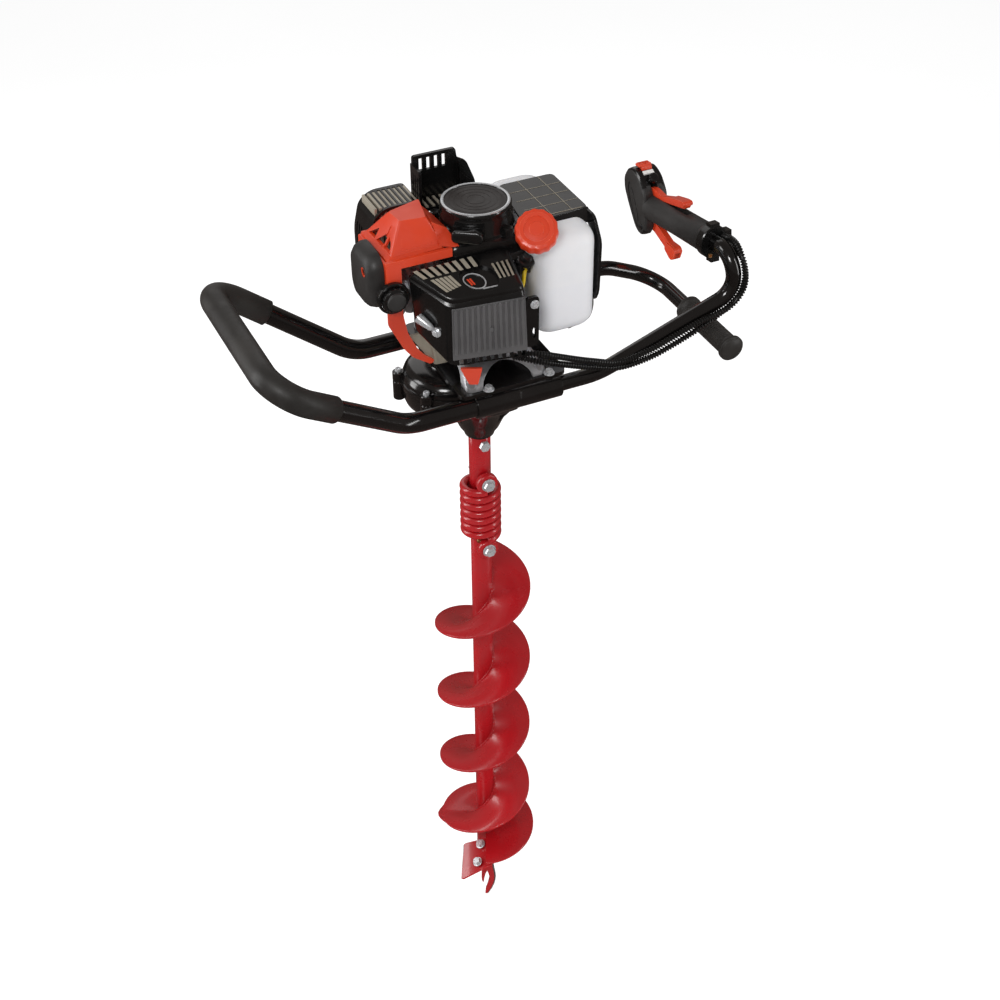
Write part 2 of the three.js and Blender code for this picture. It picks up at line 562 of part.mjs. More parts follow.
add('spark_plug', join(
  alongX(disc(4.8, 0, 20, TINY), -127, 0, CYL_Z),
  alongX(hexHead(16, 8), -135, 0, CYL_Z), alongX(disc(6.5, 0, 14, TINY), -148, 0, CYL_Z),
), WHITE());

// ---------- flywheel, fan housing and rope starter ----------
add('flywheel', join(
  disc(44, FLYWHEEL_Z, FLYWHEEL_Z + 4, MEDIUM), disc(14, FLYWHEEL_Z, FLYWHEEL_Z + 19, SMALL),
  ...Array.from({ length: 8 }, (_, i) =>
    box(10, 43, -1.5, 1.5, FLYWHEEL_Z + 3, FLYWHEEL_Z + 15).rotateZ((i * Math.PI) / 4)),
), ALLOY());
const FAN_LOW = CASE_HIGH + GAP;
const FAN_HIGH = 1382;
add('fan_housing', cut(
  softBox(-60, 50, -50, 56, FAN_LOW, FAN_HIGH, 8),
  hole(46, FAN_LOW + 3, FAN_HIGH + 5, FINE), hole(16, FAN_LOW - 5, FAN_LOW + 5, MEDIUM),
), BLACK());
add('ignition_coil', box(-20, 20, 50, 66, 1312, 1334), MATT());
const STARTER_LOW = FAN_HIGH + GAP;
const ROPE_Z = 1398;
const starter = new THREE.Group();
starter.rotation.z = -0.6;         // the rope leaves towards the front left
part.add(starter);
addTo(starter, 'starter_housing', cut(
  turned([[0, STARTER_LOW], [52, STARTER_LOW], [52, STARTER_LOW + 6], [49, DISC_TOP - 12], [46, DISC_TOP - 9],
    [46, DISC_TOP - 2], [44, DISC_TOP], [42, DISC_TOP], [41.5, DISC_TOP - 1.2], [0, DISC_TOP - 1.2]], FINE),
  hole(42, STARTER_LOW - 1, DISC_TOP - 13, FINE),
  alongY(hole(3.4, -60, 0, TINY), 0, 0, ROPE_Z),
), BLACK());
addTo(starter, 'starter_reel', cut(
  turned([[0, STARTER_LOW + 2], [38, STARTER_LOW + 2], [38, ROPE_Z - 7], [32, ROPE_Z - 5], [32, ROPE_Z + 4],
    [38, ROPE_Z + 6], [38, DISC_TOP - 14], [0, DISC_TOP - 14]], MEDIUM),
  hole(5, STARTER_LOW, DISC_TOP, TINY),
), MATT());
const HANDLE_Y = -64;
addTo(starter, 'starter_grip', cut(
  join(softBox(-19, 19, HANDLE_Y - 7, HANDLE_Y + 6, ROPE_Z - 8, ROPE_Z + 8, 4),
    alongY(disc(5, 0, 10, TINY), 0, HANDLE_Y, ROPE_Z)),
  alongY(hole(2, -10, 20, TINY), 0, HANDLE_Y + 2, ROPE_Z),
), MATT());
addTo(starter, 'starter_rope', alongY(disc(1.7, 0, 26, TINY), 0, HANDLE_Y - 6, ROPE_Z), MATT());

// ---------- covers round the cylinder ----------
// Orange hood: a faceted shell over the cylinder, open towards the fan, with a side frame and a
// strut at the front left that runs down to the engine base.
const HOOD_LOW = 1376;
const HOOD_HIGH = 1422;
const hoodShell = (inset, open, z0, z1) => frustum(
  [
    [-146 + inset, -45 + inset], [-64 + open, -38 + inset],
    [-64 + open, 50 - inset], [-148 + inset, 50 - inset],
  ],
  [
    [-120 + inset, -20 + inset], [-76 + open, -24 + inset],
    [-70 + open, 26 - inset], [-122 + inset, 16 - inset],
  ],
  z0, z1,
);
const KNOB_X = -143;
const KNOB_Z = 1332;
const strut = sideways([
  [-150, 1376], [-150, 1288], [-130, 1247], [-118, 1231], [-92, 1213], [-86, 1218], [-101, 1230],
  [-111, 1243], [-124, 1272], [-129, 1300], [-129, 1376],
], -48, -44);
add('cylinder_hood', cut(
  join(
    cut(hoodShell(0, 0, HOOD_LOW, HOOD_HIGH), hoodShell(3, 8, HOOD_LOW - 4, HOOD_HIGH - 4)),
    box(-150, -147, -48, 50, 1320, 1380), box(-150, -64, -48, -42, 1371, 1383), strut,
  ),
  alongX(hole(20, -170, -130, SMALL), 0, 0, CYL_Z), alongY(hole(5, -60, -30, TINY), KNOB_X, 0, KNOB_Z),
), ORANGE());
add('side_cover', cut(
  softBox(-172, -150.4, -42, 34, 1306, 1388, 6),
  box(-180, -164, -30, -6, 1350, 1368),
), BLACK());
add('cover_knob', join(
  alongY(disc(17.5, -66, -50, MEDIUM), KNOB_X, 0, KNOB_Z),
  alongY(disc(4.6, -51, -38, TINY), KNOB_X, 0, KNOB_Z),
), MATT());
// Louvred cover beside the cylinder, and the tall slotted guard that stands on its inner end.
const LOUVRES = 6;
const coverOutline = (inset) => [
  [-130 + inset, 1300 + inset], [-52 - inset, 1300 + inset], [-52 - inset, 1400 - inset],
  [-104 + inset / 2, 1400 - inset], [-122 + inset, 1388 - inset / 2], [-130 + inset, 1352],
];
add('fin_cover', cut(
  join(
    cut(sideways(coverOutline(0), 62, 120), sideways(coverOutline(4), 50, 116)),
    sideways([[-53, 1376], [42, 1376], [38, 1400], [26, 1430], [12, 1438], [10, 1453], [-53, 1453]], 88, 92),
    box(-54, -50, 64, 92, 1376, 1442), box(-60, 42, 62, 92, 1384, 1388),
  ),
  ...Array.from({ length: LOUVRES }, (_, i) => box(-116 + i * 10, -111 + i * 10, 56, 110, 1380, 1410)),
  ...Array.from({ length: 4 }, (_, i) => box(-44 + i * 11.3, -38 + i * 11.3, 80, 100, 1430, 1448)),
), BLACK());

// ---------- muffler side ----------
// Box-like cover, open behind and below. Its top rises towards the cylinder, and its lower left
// corner is cut off by a slope.
const COVER_LOW = 1243;
const coverShell = (inset, drop) => {
  const corners = (points) => points.map(([x, y, z]) => new THREE.Vector3(x, y, z - drop));
  return loft(
    corners([
      [-88 + inset, -110 + inset, COVER_LOW], [17 - inset, -130 + inset, COVER_LOW],
      [24 - inset, -49.5 + inset, COVER_LOW], [-118 + inset, -49.5 + inset, COVER_LOW + 36],
    ]),
    corners([
      [-86 + inset, -106 + inset, 1341], [14 - inset, -126 + inset, 1347],
      [24 - inset, -51 + inset, 1371], [-126 + inset, -51 + inset, 1367],
    ]),
  );
};
add('muffler', cut(
  softBox(-70, 6, -99, -52, 1256, 1330, 6),
  hole(5, 1240, 1262, TINY).translate(-30, -80, 0),
), STEEL());
add('muffler_cover', cut(
  join(cut(coverShell(0, 0), coverShell(4, 4)), box(13.5, 33, -126, -121, 1254, 1330)),
  alongY(hole(3.6, -140, -110, TINY), 26, 0, 1320),
  ...Array.from({ length: 8 }, (_, i) => box(-78 + i * 11, -73 + i * 11, -150, -98, 1247, 1260)),
  ...Array.from({ length: 6 }, (_, i) => box(-96 + i * 10, -91 + i * 10, -74, -58, 1346, 1380)),
), BLACK());

// ---------- intake side ----------
add('carburettor', cut(
  join(box(-26, 14, 56, 84, 1280, 1308), alongY(disc(14, 48, 92, SMALL), -6, 0, 1294)),
  alongY(hole(8, 40, 100, TINY), -6, 0, 1294),
), ALLOY());
const cleanerSpace = box(-40, 28, 90, 118, 1258, 1328);
add('air_cleaner', cut(softBox(-46, 34, 92.5, 124, 1252, 1334, 6), cleanerSpace), BLACK());

// ---------- fuel tank ----------
const cap = new THREE.Group();
cap.position.set(55, -72, 1387);
cap.rotation.set(0.68, -0.3, 0);
cap.updateMatrix();
part.add(cap);
add('fuel_tank', cut(
  join(softBox(52, 143, -88, 108, 1232, 1386, 20, 2), disc(19, -20, 7.7, MEDIUM).applyMatrix4(cap.matrix)),
  softBox(56, 139, -84, 104, 1236, 1382, 16), disc(15, -40, 12, SMALL).applyMatrix4(cap.matrix),
), WHITE());
addTo(cap, 'fuel_cap', join(
  disc(28, 8, 25, MEDIUM), disc(25, 24, 29, MEDIUM),
  ...Array.from({ length: 8 }, (_, i) => box(26, 30, -3, 3, 8, 24).rotateZ((i * Math.PI) / 4)),
), ORANGE());
add('tank_guard', join(
  box(66, 149, -38, 70, 1388, 1392), box(145, 149, -70, 68, 1262, 1392), box(62, 149, -20, 60, 1226, 1230),
  box(145, 149, -20, 60, 1226, 1270),
), BLACK());

// ---------- cable and wire conduits ----------
const CONDUIT_R = 4.5;
const conduit = (points) => new THREE.ExtrudeGeometry(roundSection(CONDUIT_R, 0, 6), {
  steps: 30,
  extrudePath: new THREE.CatmullRomCurve3(points.map(([x, y, z]) => new THREE.Vector3(x, y, z))),
  bevelEnabled: false,
});
add('throttle_conduit', conduit([
  [4, -104, 1229], [24, -114, 1235], [46, -119, 1230], [69, -119, 1220], [116, -119, 1200], [163, -119, 1185],
  [211, -119, 1191], [252, -119, 1204], [285, -119, 1215], [313, -118.5, 1221], [338.5, -117, 1227],
  [354.8, -116.5, 1242], [361, -116.5, 1265], [359, -108.5, 1292.5], [360, -90, 1306], [360.5, -72, 1307.5],
  [360.5, -62, 1304.5], [360.5, -50.5, 1301.5],
]), MATT());
add('switch_conduit', conduit([
  [12, -92, 1222], [24, -108, 1223], [46, -115, 1216], [71, -116, 1206], [118, -116, 1188], [165, -116, 1174],
  [213, -116, 1177], [254, -116, 1189], [290, -115, 1202], [318, -111, 1211], [341, -108, 1221],
  [359.3, -108, 1239.5], [366, -108, 1264], [365, -100, 1287], [364, -84, 1293.5], [363, -66, 1292],
  [362.5, -51.5, 1289.7],
]), MATT());

export default part;
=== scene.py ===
"""Looks for an engine-driven hand auger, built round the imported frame. Shapes are in millimetres."""

import math

import bmesh
import bpy
from mathutils import Matrix, Vector


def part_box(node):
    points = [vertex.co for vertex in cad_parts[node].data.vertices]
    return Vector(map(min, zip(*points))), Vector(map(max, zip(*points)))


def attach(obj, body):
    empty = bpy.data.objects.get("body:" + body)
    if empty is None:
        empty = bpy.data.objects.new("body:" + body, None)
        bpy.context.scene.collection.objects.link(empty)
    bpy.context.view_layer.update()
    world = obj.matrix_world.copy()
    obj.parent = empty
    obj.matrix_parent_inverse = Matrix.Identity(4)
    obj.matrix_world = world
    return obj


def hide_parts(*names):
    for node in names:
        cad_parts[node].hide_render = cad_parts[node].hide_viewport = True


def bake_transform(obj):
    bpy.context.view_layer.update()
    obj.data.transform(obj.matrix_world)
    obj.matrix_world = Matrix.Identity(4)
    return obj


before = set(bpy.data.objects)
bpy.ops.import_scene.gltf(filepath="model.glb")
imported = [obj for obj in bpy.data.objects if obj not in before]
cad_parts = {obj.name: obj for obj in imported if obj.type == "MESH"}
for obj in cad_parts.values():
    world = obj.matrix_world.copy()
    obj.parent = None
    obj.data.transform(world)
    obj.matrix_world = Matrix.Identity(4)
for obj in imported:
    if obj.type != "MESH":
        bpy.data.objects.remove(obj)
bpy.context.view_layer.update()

MM = 0.001
TAU = 2 * math.pi


# ---------- solids: (points, faces), in millimetres ----------
def box(x0, x1, y0, y1, z0, z1):
    points = [(x, y, z) for z in (z0, z1) for y in (y0, y1) for x in (x0, x1)]
    faces = [(0, 2, 3, 1), (4, 5, 7, 6), (0, 1, 5, 4), (2, 6, 7, 3), (0, 4, 6, 2), (1, 3, 7, 5)]
    return points, faces


def loft(rings, closed=False):
    """Rings of points with equal counts, skinned in order, with flat ends unless closed."""
    n = len(rings[0])
    points = [tuple(p) for ring in rings for p in ring]
    faces = []
    spans = len(rings) if closed else len(rings) - 1
    for i in range(spans):
        a, b = i * n, ((i + 1) % len(rings)) * n
        faces += [(a + k, a + (k + 1) % n, b + (k + 1) % n, b + k) for k in range(n)]
    if not closed:
        faces.append(tuple(reversed(range(n))))
        faces.append(tuple((len(rings) - 1) * n + k for k in range(n)))
    return points, faces


def lathe(profile, sides=64):
    """A solid turned about +Z from (radius, z) points. It starts and ends on the axis."""
    points, faces = [], []
    rows = []
    for r, z in profile:
        if r < 1e-6:
            rows.append([len(points)])
            points.append((0, 0, z))
        else:
            rows.append([len(points) + k for k in range(sides)])
            points += [(r * math.cos(TAU * k / sides), r * math.sin(TAU * k / sides), z)
                       for k in range(sides)]
    for low, high in zip(rows, rows[1:]):
        for k in range(sides):
            j = (k + 1) % sides
            if len(low) == 1 and len(high) > 1:
                faces.append((low[0], high[j], high[k]))
            elif len(high) == 1 and len(low) > 1:
                faces.append((low[k], low[j], high[0]))
            elif len(low) > 1:
                faces.append((low[k], low[j], high[j], high[k]))
    return points, faces


def ring(profile, sides=64):
    """A solid turned about +Z from a closed loop of (radius, z) points."""
    rings = [[(r * math.cos(TAU * k / sides), r * math.sin(TAU * k / sides), z) for r, z in profile]
             for k in range(sides)]
    return loft(rings, closed=True)


def disc(r, z0, z1, edge=0.6, sides=64):
    return lathe([(0, z0), (r - edge, z0), (r, z0 + edge), (r, z1 - edge), (r - edge, z1), (0, z1)], sides)


def prism(outline, z0, z1):
    return loft([[(x, y, z) for x, y in outline] for z in (z0, z1)])


def side_prism(outline, x0, x1):
    """A prism from a (y, z) outline."""
    return loft([[(x, y, z) for y, z in outline] for x in (x0, x1)])


def front_prism(outline, y0, y1):
    """A prism from an (x, z) outline."""
    return loft([[(x, y, z) for x, z in outline] for y in (y0, y1)])


def moved(solid, matrix):
    return [tuple(matrix @ Vector(p)) for p in solid[0]], solid[1]


def group(solids, matrix):
    return [moved(s, matrix) for s in solids]


def at(x, y, z):
    return Matrix.Translation((x, y, z))


def turn(axis, angle):
    return Matrix.Rotation(angle, 4, axis)


ALONG_X = turn("Y", math.pi / 2)
ALONG_Y = turn("X", -math.pi / 2)


def rounded(outline, radius, per=5):
    """A closed outline with its corners rounded."""
    out = []
    n = len(outline)
    for i in range(n):
        a, b, c = (Vector(outline[k % n]) for k in (i - 1, i, i + 1))
        into, away = (a - b), (c - b)
        reach = min(radius, into.length * 0.45, away.length * 0.45)
        p, q = b + into.normalized() * reach, b + away.normalized() * reach
        for k in range(per + 1):
            t = k / per
            out.append(tuple(p * (1 - t) ** 2 + b * 2 * t * (1 - t) + q * t ** 2))
    return out


def bent_path(corners, radii, step=6.0):
    """Points along straight runs joined by round bends."""
    p = [Vector(c) for c in corners]
    out = [p[0]]
    for i in range(1, len(p) - 1):
        into, away = (p[i] - p[i - 1]).normalized(), (p[i + 1] - p[i]).normalized()
        angle = into.angle(away)
        radius = radii[i - 1]
        start = p[i] - into * radius * math.tan(angle / 2)
        axis = into.cross(away).normalized()
        centre = start + axis.cross(into) * radius
        count = max(3, round(math.degrees(angle) / step))
        for k in range(count + 1):
            spin = Matrix.Rotation(angle * k / count, 3, axis)
            out.append(centre + spin @ (start - centre))
    out.append(p[-1])
    return out


def smooth_path(points, count):
    """A Catmull-Rom curve through the points, at even steps."""
    p = [Vector(q) for q in points]
    p = [p[0] * 2 - p[1]] + p + [p[-1] * 2 - p[-2]]
    fine = []
    for i in range(1, len(p) - 2):
        for k in range(24):
            t = k / 24
            a, b, c, d = p[i - 1], p[i], p[i + 1], p[i + 2]
            fine.append(0.5 * (2 * b + (c - a) * t + (2 * a - 5 * b + 4 * c - d) * t ** 2
                               + (3 * b - a - 3 * c + d) * t ** 3))
    fine.append(p[-2])
    lengths = [0.0]
    for a, b in zip(fine, fine[1:]):
        lengths.append(lengths[-1] + (b - a).length)
    out, j = [], 0
    for i in range(count + 1):
        want = lengths[-1] * i / count
        while j < len(fine) - 2 and lengths[j + 1] < want:
            j += 1
        span = lengths[j + 1] - lengths[j]
        out.append(fine[j].lerp(fine[j + 1], (want - lengths[j]) / span if span else 0))
    return out


def sweep(path, radius, sides=32, caps=2.0):
    """A round tube along a path. radius is a number or a function of the point's index."""
    path = [Vector(p) for p in path]
    radius_at = radius if callable(radius) else (lambda i: radius)
    rings = []
    tangent = (path[1] - path[0]).normalized()
    normal = tangent.orthogonal().normalized()
    for i, p in enumerate(path):
        ahead = path[min(i + 1, len(path) - 1)] - path[max(i - 1, 0)]
        ahead.normalize()
        normal = (normal - ahead * normal.dot(ahead)).normalized()
        other = ahead.cross(normal)
        r = radius_at(i)
        circle = [p + (normal * math.cos(TAU * k / sides) + other * math.sin(TAU * k / sides)) * r
                  for k in range(sides)]
        if i == 0 and caps:
            rings.append([p + (q - p) * (1 - caps / r) for q in circle])
            circle = [q + ahead * caps * 0.6 for q in circle]
        if i == len(path) - 1 and caps:
            rings.append([q - ahead * caps * 0.6 for q in circle])
            circle = [p + (q - p) * (1 - caps / r) for q in circle]
        rings.append(circle)
    return loft(rings)


def helicoid(inner, outer_at, height_at, thick, start, end, per_turn=72):
    """A helical plate. Radii and heights are functions of the turn count."""
    steps = round((end - start) * per_turn)
    rings = []
    for i in range(steps + 1):
        t = start + (end - start) * i / steps
        a, z, r = t * TAU, height_at(t), outer_at(t)
        section = [(inner, z), ((inner + r) / 2, z - 0.5), (r - 0.8, z), (r, z + 0.8), (r, z + thick - 0.8),
                   (r - 0.8, z + thick), ((inner + r) / 2, z + thick - 0.5), (inner, z + thick)]
        rings.append([(q * math.cos(a), q * math.sin(a), h) for q, h in section])
    return loft(rings)


def hex_bolt(across, height, washer=0.0):
    """A bolt head standing on z = 0, with a chamfered top and an optional washer under it."""
    parts = []
    z = 0.0
    if washer:
        parts.append(disc(washer, 0, 1.8, 0.4, 32))
        z = 1.8
    r = across / 2 / math.cos(math.pi / 6)
    rings = []
    for k, h in ((1, 0), (1, height * 0.78), (0.9, height)):
        angles = [TAU * i / 6 for i in range(6)]
        rings.append([(r * k * math.cos(a), r * k * math.sin(a), z + h) for a in angles])
    parts.append(loft(rings))
    return parts


def screw_head(r, height):
    """A round socket screw head standing on z = 0."""
    return [ring([(r * 0.5, height - 2), (r * 0.5, height), (r * 0.9, height), (r, height * 0.7), (r, 0),
                  (r * 0.2, 0), (r * 0.2, height - 2)], 32)]


class Face:
    """A four-cornered face to lay shallow solids on: u runs from corner 0 to 1, v from corner 0 to 3."""

    def __init__(self, *corners):
        self.corners = [Vector(c) for c in corners]
        a, b, c, d = self.corners
        self.normal = (b - a + c - d).cross(d - a + c - b).normalized()

    def point(self, u, v, lift=0.0):
        a, b, c, d = self.corners
        return a.lerp(b, u).lerp(d.lerp(c, u), v) + self.normal * lift

    def slab(self, outline, low, high):
        return loft([[self.point(u, v, h) for u, v in outline] for h in (low, high)])

    def patch(self, u0, u1, v0, v1, low, high):
        return self.slab([(u0, v0), (u1, v0), (u1, v1), (u0, v1)], low, high)

    def oval(self, u, v, ru, rv, low, high, sides=40):
        angles = [TAU * k / sides for k in range(sides)]
        return self.slab([(u + ru * math.cos(a), v + rv * math.sin(a)) for a in angles], low, high)

    def hoop(self, u, v, ru, rv, width, low, high, sides=48):
        rings = []
        for k in range(sides):
            c, s = math.cos(TAU * k / sides), math.sin(TAU * k / sides)
            rings.append([self.point(u + (ru - w) * c, v + (rv - w * rv / ru) * s, h)
                          for w, h in ((0, low), (0, high), (width, high), (width, low))])
        return loft(rings, closed=True)


# ---------- materials ----------
def linear(r, g, b):
    def channel(c):
        c /= 255
        return c / 12.92 if c <= 0.04045 else ((c + 0.055) / 1.055) ** 2.4
    return channel(r), channel(g), channel(b), 1


class Graph:
    """A small helper for node trees."""

    def __init__(self, name):
        self.material = bpy.data.materials.new(name)
        self.material.use_nodes = True
        self.tree = self.material.node_tree
        self.shader = self.tree.nodes["Principled BSDF"]
        self.place = self.node("ShaderNodeTexCoord").outputs["Object"]

    def node(self, kind, **settings):
        made = self.tree.nodes.new(kind)
        for key, value in settings.items():
            setattr(made, key, value)
        return made

    def link(self, a, b):
        self.tree.links.new(a, b)

    def noise(self, scale, detail=4.0, stretch=(1, 1, 1)):
        mapping = self.node("ShaderNodeMapping")
        mapping.inputs["Scale"].default_value = stretch
        self.link(self.place, mapping.inputs["Vector"])
        noise = self.node("ShaderNodeTexNoise")
        noise.inputs["Scale"].default_value = scale
        noise.inputs["Detail"].default_value = detail
        noise.inputs["Roughness"].default_value = 0.55
        self.link(mapping.outputs["Vector"], noise.inputs["Vector"])
        return noise.outputs["Fac"]

    def ranged(self, value, low, high, to_low=0.0, to_high=1.0):
        spread = self.node("ShaderNodeMapRange")
        for key, number in (("From Min", low), ("From Max", high), ("To Min", to_low), ("To Max", to_high)):
            spread.inputs[key].default_value = number
        self.link(value, spread.inputs["Value"])
        return spread.outputs["Result"]

    def mix(self, fac, a, b):
        mixer = self.node("ShaderNodeMix", data_type="RGBA")
        self.link(fac, mixer.inputs["Factor"])
        for value, key in ((a, "A"), (b, "B")):
            slots = [s for s in mixer.inputs if s.name == key and s.type == "RGBA"]
            if isinstance(value, tuple):
                slots[0].default_value = value
            else:
                self.link(value, slots[0])
        return [s for s in mixer.outputs if s.type == "RGBA"][0]

    def edges(self, radius_mm, low=0.985, high=0.93):
        """1 where an edge turns within the radius, 0 on flat surface."""
        bevel = self.node("ShaderNodeBevel", samples=4)
        bevel.inputs["Radius"].default_value = radius_mm * MM
        normal = self.node("ShaderNodeNewGeometry").outputs["Normal"]
        dot = self.node("ShaderNodeVectorMath", operation="DOT_PRODUCT")
        self.link(bevel.outputs["Normal"], dot.inputs[0])
        self.link(normal, dot.inputs[1])
        return self.ranged(dot.outputs["Value"], low, high)

    def product(self, a, b):
        times = self.node("ShaderNodeMath", operation="MULTIPLY")
        self.link(a, times.inputs[0])
        if isinstance(b, (int, float)):
            times.inputs[1].default_value = b
        else:
            self.link(b, times.inputs[1])
        return times.outputs["Value"]

    def bump(self, height, strength, distance_mm, before=None):
        bump = self.node("ShaderNodeBump")
        bump.inputs["Strength"].default_value = strength
        bump.inputs["Distance"].default_value = distance_mm * MM
        self.link(height, bump.inputs["Height"])
        if before:
            self.link(before, bump.inputs["Normal"])
        return bump.outputs["Normal"]

    def put(self, name, value):
        socket = self.shader.inputs[name]
        if isinstance(value, (int, float, tuple)):
            socket.default_value = value
        else:
            self.link(value, socket)


def surface(name, colour, second, rough, metal=0.0, cloud=9.0, grain=900.0, grain_mm=0.05, coat=0.0,
            edge_wear_and_highlight=None, edge_wear_and_highlight_mm=0.7, stretch=(1, 1, 1)):
    """A finish with cloudy colour variation, roughness variation, fine surface grain and patchy lighter
    edges, partly wear and partly painted highlight.
    """
    g = Graph(name)
    cloudy = g.ranged(g.noise(cloud, 5.0), 0.35, 0.68)
    base = g.mix(cloudy, linear(*colour), linear(*second))
    roughness = g.ranged(g.noise(cloud * 4, 6.0), 0.3, 0.7, rough * 0.8, min(1.0, rough * 1.25))
    # Painted edge highlight: edges take the lighter edge colour in patches, partly as wear and partly
    # standing for highlights.
    if edge_wear_and_highlight:
        worn_or_lit_edges = g.product(g.edges(edge_wear_and_highlight_mm), g.ranged(g.noise(70.0, 5.0), 0.35, 0.6))
        base = g.mix(worn_or_lit_edges, base, linear(*edge_wear_and_highlight))
    g.put("Base Color", base)
    g.put("Roughness", roughness)
    g.put("Metallic", metal)
    g.put("Coat Weight", coat)
    g.put("Coat Roughness", 0.12)
    normal = g.bump(g.noise(grain, 3.0, stretch), 0.5, grain_mm)
    g.put("Normal", g.bump(g.noise(cloud * 6, 2.0), 0.25, grain_mm * 4, normal))
    return g.material


# The lighter edge colours given below are partly wear and partly painted edge highlight.
RED = surface("red_powder_coat", (178, 20, 28), (162, 16, 24), 0.27, cloud=5.0, grain=1500, grain_mm=0.01,
              coat=0.45)
BLACK = surface("black_powder_coat", (11, 10, 10), (17, 15, 15), 0.16, grain=1800, grain_mm=0.02, coat=0.5,
                edge_wear_and_highlight=(70, 66, 62), edge_wear_and_highlight_mm=0.4)
GLOSSY = surface("black_plastic", (12, 12, 12), (20, 19, 19), 0.2, grain=2600, grain_mm=0.015, coat=0.15,
                 edge_wear_and_highlight=(60, 60, 60), edge_wear_and_highlight_mm=0.35)
MATT = surface("matt_plastic", (34, 33, 32), (44, 42, 41), 0.5, grain=3200, grain_mm=0.06)
RUBBER = surface("black_rubber", (34, 32, 30), (48, 45, 42), 0.5, grain=2200, grain_mm=0.09)
CONDUIT = surface("conduit_plastic", (16, 16, 16), (30, 29, 28), 0.3, grain=2400, grain_mm=0.03)
ORANGE = surface("orange_plastic", (213, 63, 28), (203, 54, 22), 0.36, grain=2800, grain_mm=0.02, coat=0.15,
                 edge_wear_and_highlight=(244, 120, 80), edge_wear_and_highlight_mm=0.4)
ALLOY = surface("cast_aluminium", (196, 197, 200), (166, 168, 172), 0.42, 0.85, grain=1100, grain_mm=0.16,
                edge_wear_and_highlight=(228, 229, 232), edge_wear_and_highlight_mm=0.5)
SHIELD = surface("grey_heat_shield", (112, 111, 112), (92, 91, 92), 0.34, 0.5, grain=1500, grain_mm=0.05,
                 edge_wear_and_highlight=(150, 150, 152), edge_wear_and_highlight_mm=0.6, stretch=(1, 1, 0.1))
ZINC = surface("zinc_steel", (222, 224, 227), (200, 202, 204), 0.28, 0.6, cloud=60, grain=1500,
               grain_mm=0.02, edge_wear_and_highlight=(240, 240, 240), edge_wear_and_highlight_mm=0.3)
STEEL = surface("machined_steel", (160, 161, 165), (130, 131, 134), 0.3, 0.95, cloud=40, grain=900,
                grain_mm=0.02, stretch=(1, 1, 14))
EDGE = surface("ground_edge", (190, 190, 192), (150, 140, 136), 0.35, 0.9, cloud=60, grain=1400,
               grain_mm=0.03, stretch=(12, 1, 1))
CERAMIC = surface("white_ceramic", (235, 234, 230), (222, 220, 214), 0.15, grain=600, grain_mm=0.01)
# Tan of the fins: partly their own metal colour, partly painted highlight where it lies on the black cover
# vents.
TAN = surface("tan_fin_and_painted_highlight", (176, 168, 152), (150, 143, 128), 0.4, 0.35, grain=900, grain_mm=0.06)
BRASS = surface("brass_pin", (206, 160, 110), (180, 134, 90), 0.3, 0.9, cloud=60, grain=1200, grain_mm=0.02)
BROWN = surface("disc_plastic", (24, 18, 16), (34, 26, 23), 0.42, grain=3000, grain_mm=0.05)
YELLOW = surface("yellow_film", (238, 206, 30), (226, 190, 24), 0.35, grain=900, grain_mm=0.01)
ROPE = surface("rope_fibre", (28, 28, 30), (52, 50, 50), 0.85, grain=1600, grain_mm=0.3, stretch=(1, 1, 4))


def tank_plastic():
    """Milky moulded plastic, with a faint line where the fuel stands inside."""
    g = Graph("tank_plastic")
    height = g.node("ShaderNodeSeparateXYZ")
    g.link(g.place, height.inputs["Vector"])
    fuel = g.ranged(height.outputs["Z"], 1.312, 1.306)
    cloudy = g.ranged(g.noise(14.0, 4.0), 0.3, 0.7)
    shell = g.mix(cloudy, linear(226, 225, 226), linear(216, 216, 219))
    g.put("Base Color", g.mix(g.product(fuel, 0.35), shell, linear(214, 214, 220)))
    g.put("Subsurface Weight", 0.35)
    g.put("Subsurface Radius", (0.01, 0.009, 0.008))
    g.put("Roughness", g.ranged(g.noise(60.0), 0.3, 0.7, 0.34, 0.46))
    g.put("Normal", g.bump(g.noise(500.0), 0.3, 0.08))
    return g.material


TANK = tank_plastic()


# ---------- pieces ----------
def make_object(name, solids):
    mesh = bpy.data.meshes.new(name)
    points, faces, kinds = [], [], []
    for solid in solids:
        solid, kind = solid if isinstance(solid[1], int) else (solid, 0)
        base = len(points)
        points += [Vector(p) * MM for p in solid[0]]
        faces += [tuple(base + i for i in f) for f in solid[1]]
        kinds += [kind] * len(solid[1])
    mesh.from_pydata(points, [], faces)
    mesh.polygons.foreach_set("material_index", kinds)
    obj = bpy.data.objects.new(name, mesh)
    bpy.context.scene.collection.objects.link(obj)
    tidy = bmesh.new()
    tidy.from_mesh(mesh)
    bmesh.ops.recalc_face_normals(tidy, faces=tidy.faces)
    tidy.to_mesh(mesh)
    tidy.free()
    return obj


def apply_modifiers(obj):
    evaluated = obj.evaluated_get(bpy.context.evaluated_depsgraph_get())
    mesh = bpy.data.meshes.new_from_object(evaluated)
    obj.modifiers.clear()
    obj.data = mesh


def split_wide_faces(obj):
    mesh = bmesh.new()
    mesh.from_mesh(obj.data)
    bmesh.ops.triangulate(mesh, faces=[f for f in mesh.faces if len(f.verts) > 4])
    mesh.to_mesh(obj.data)
    mesh.free()


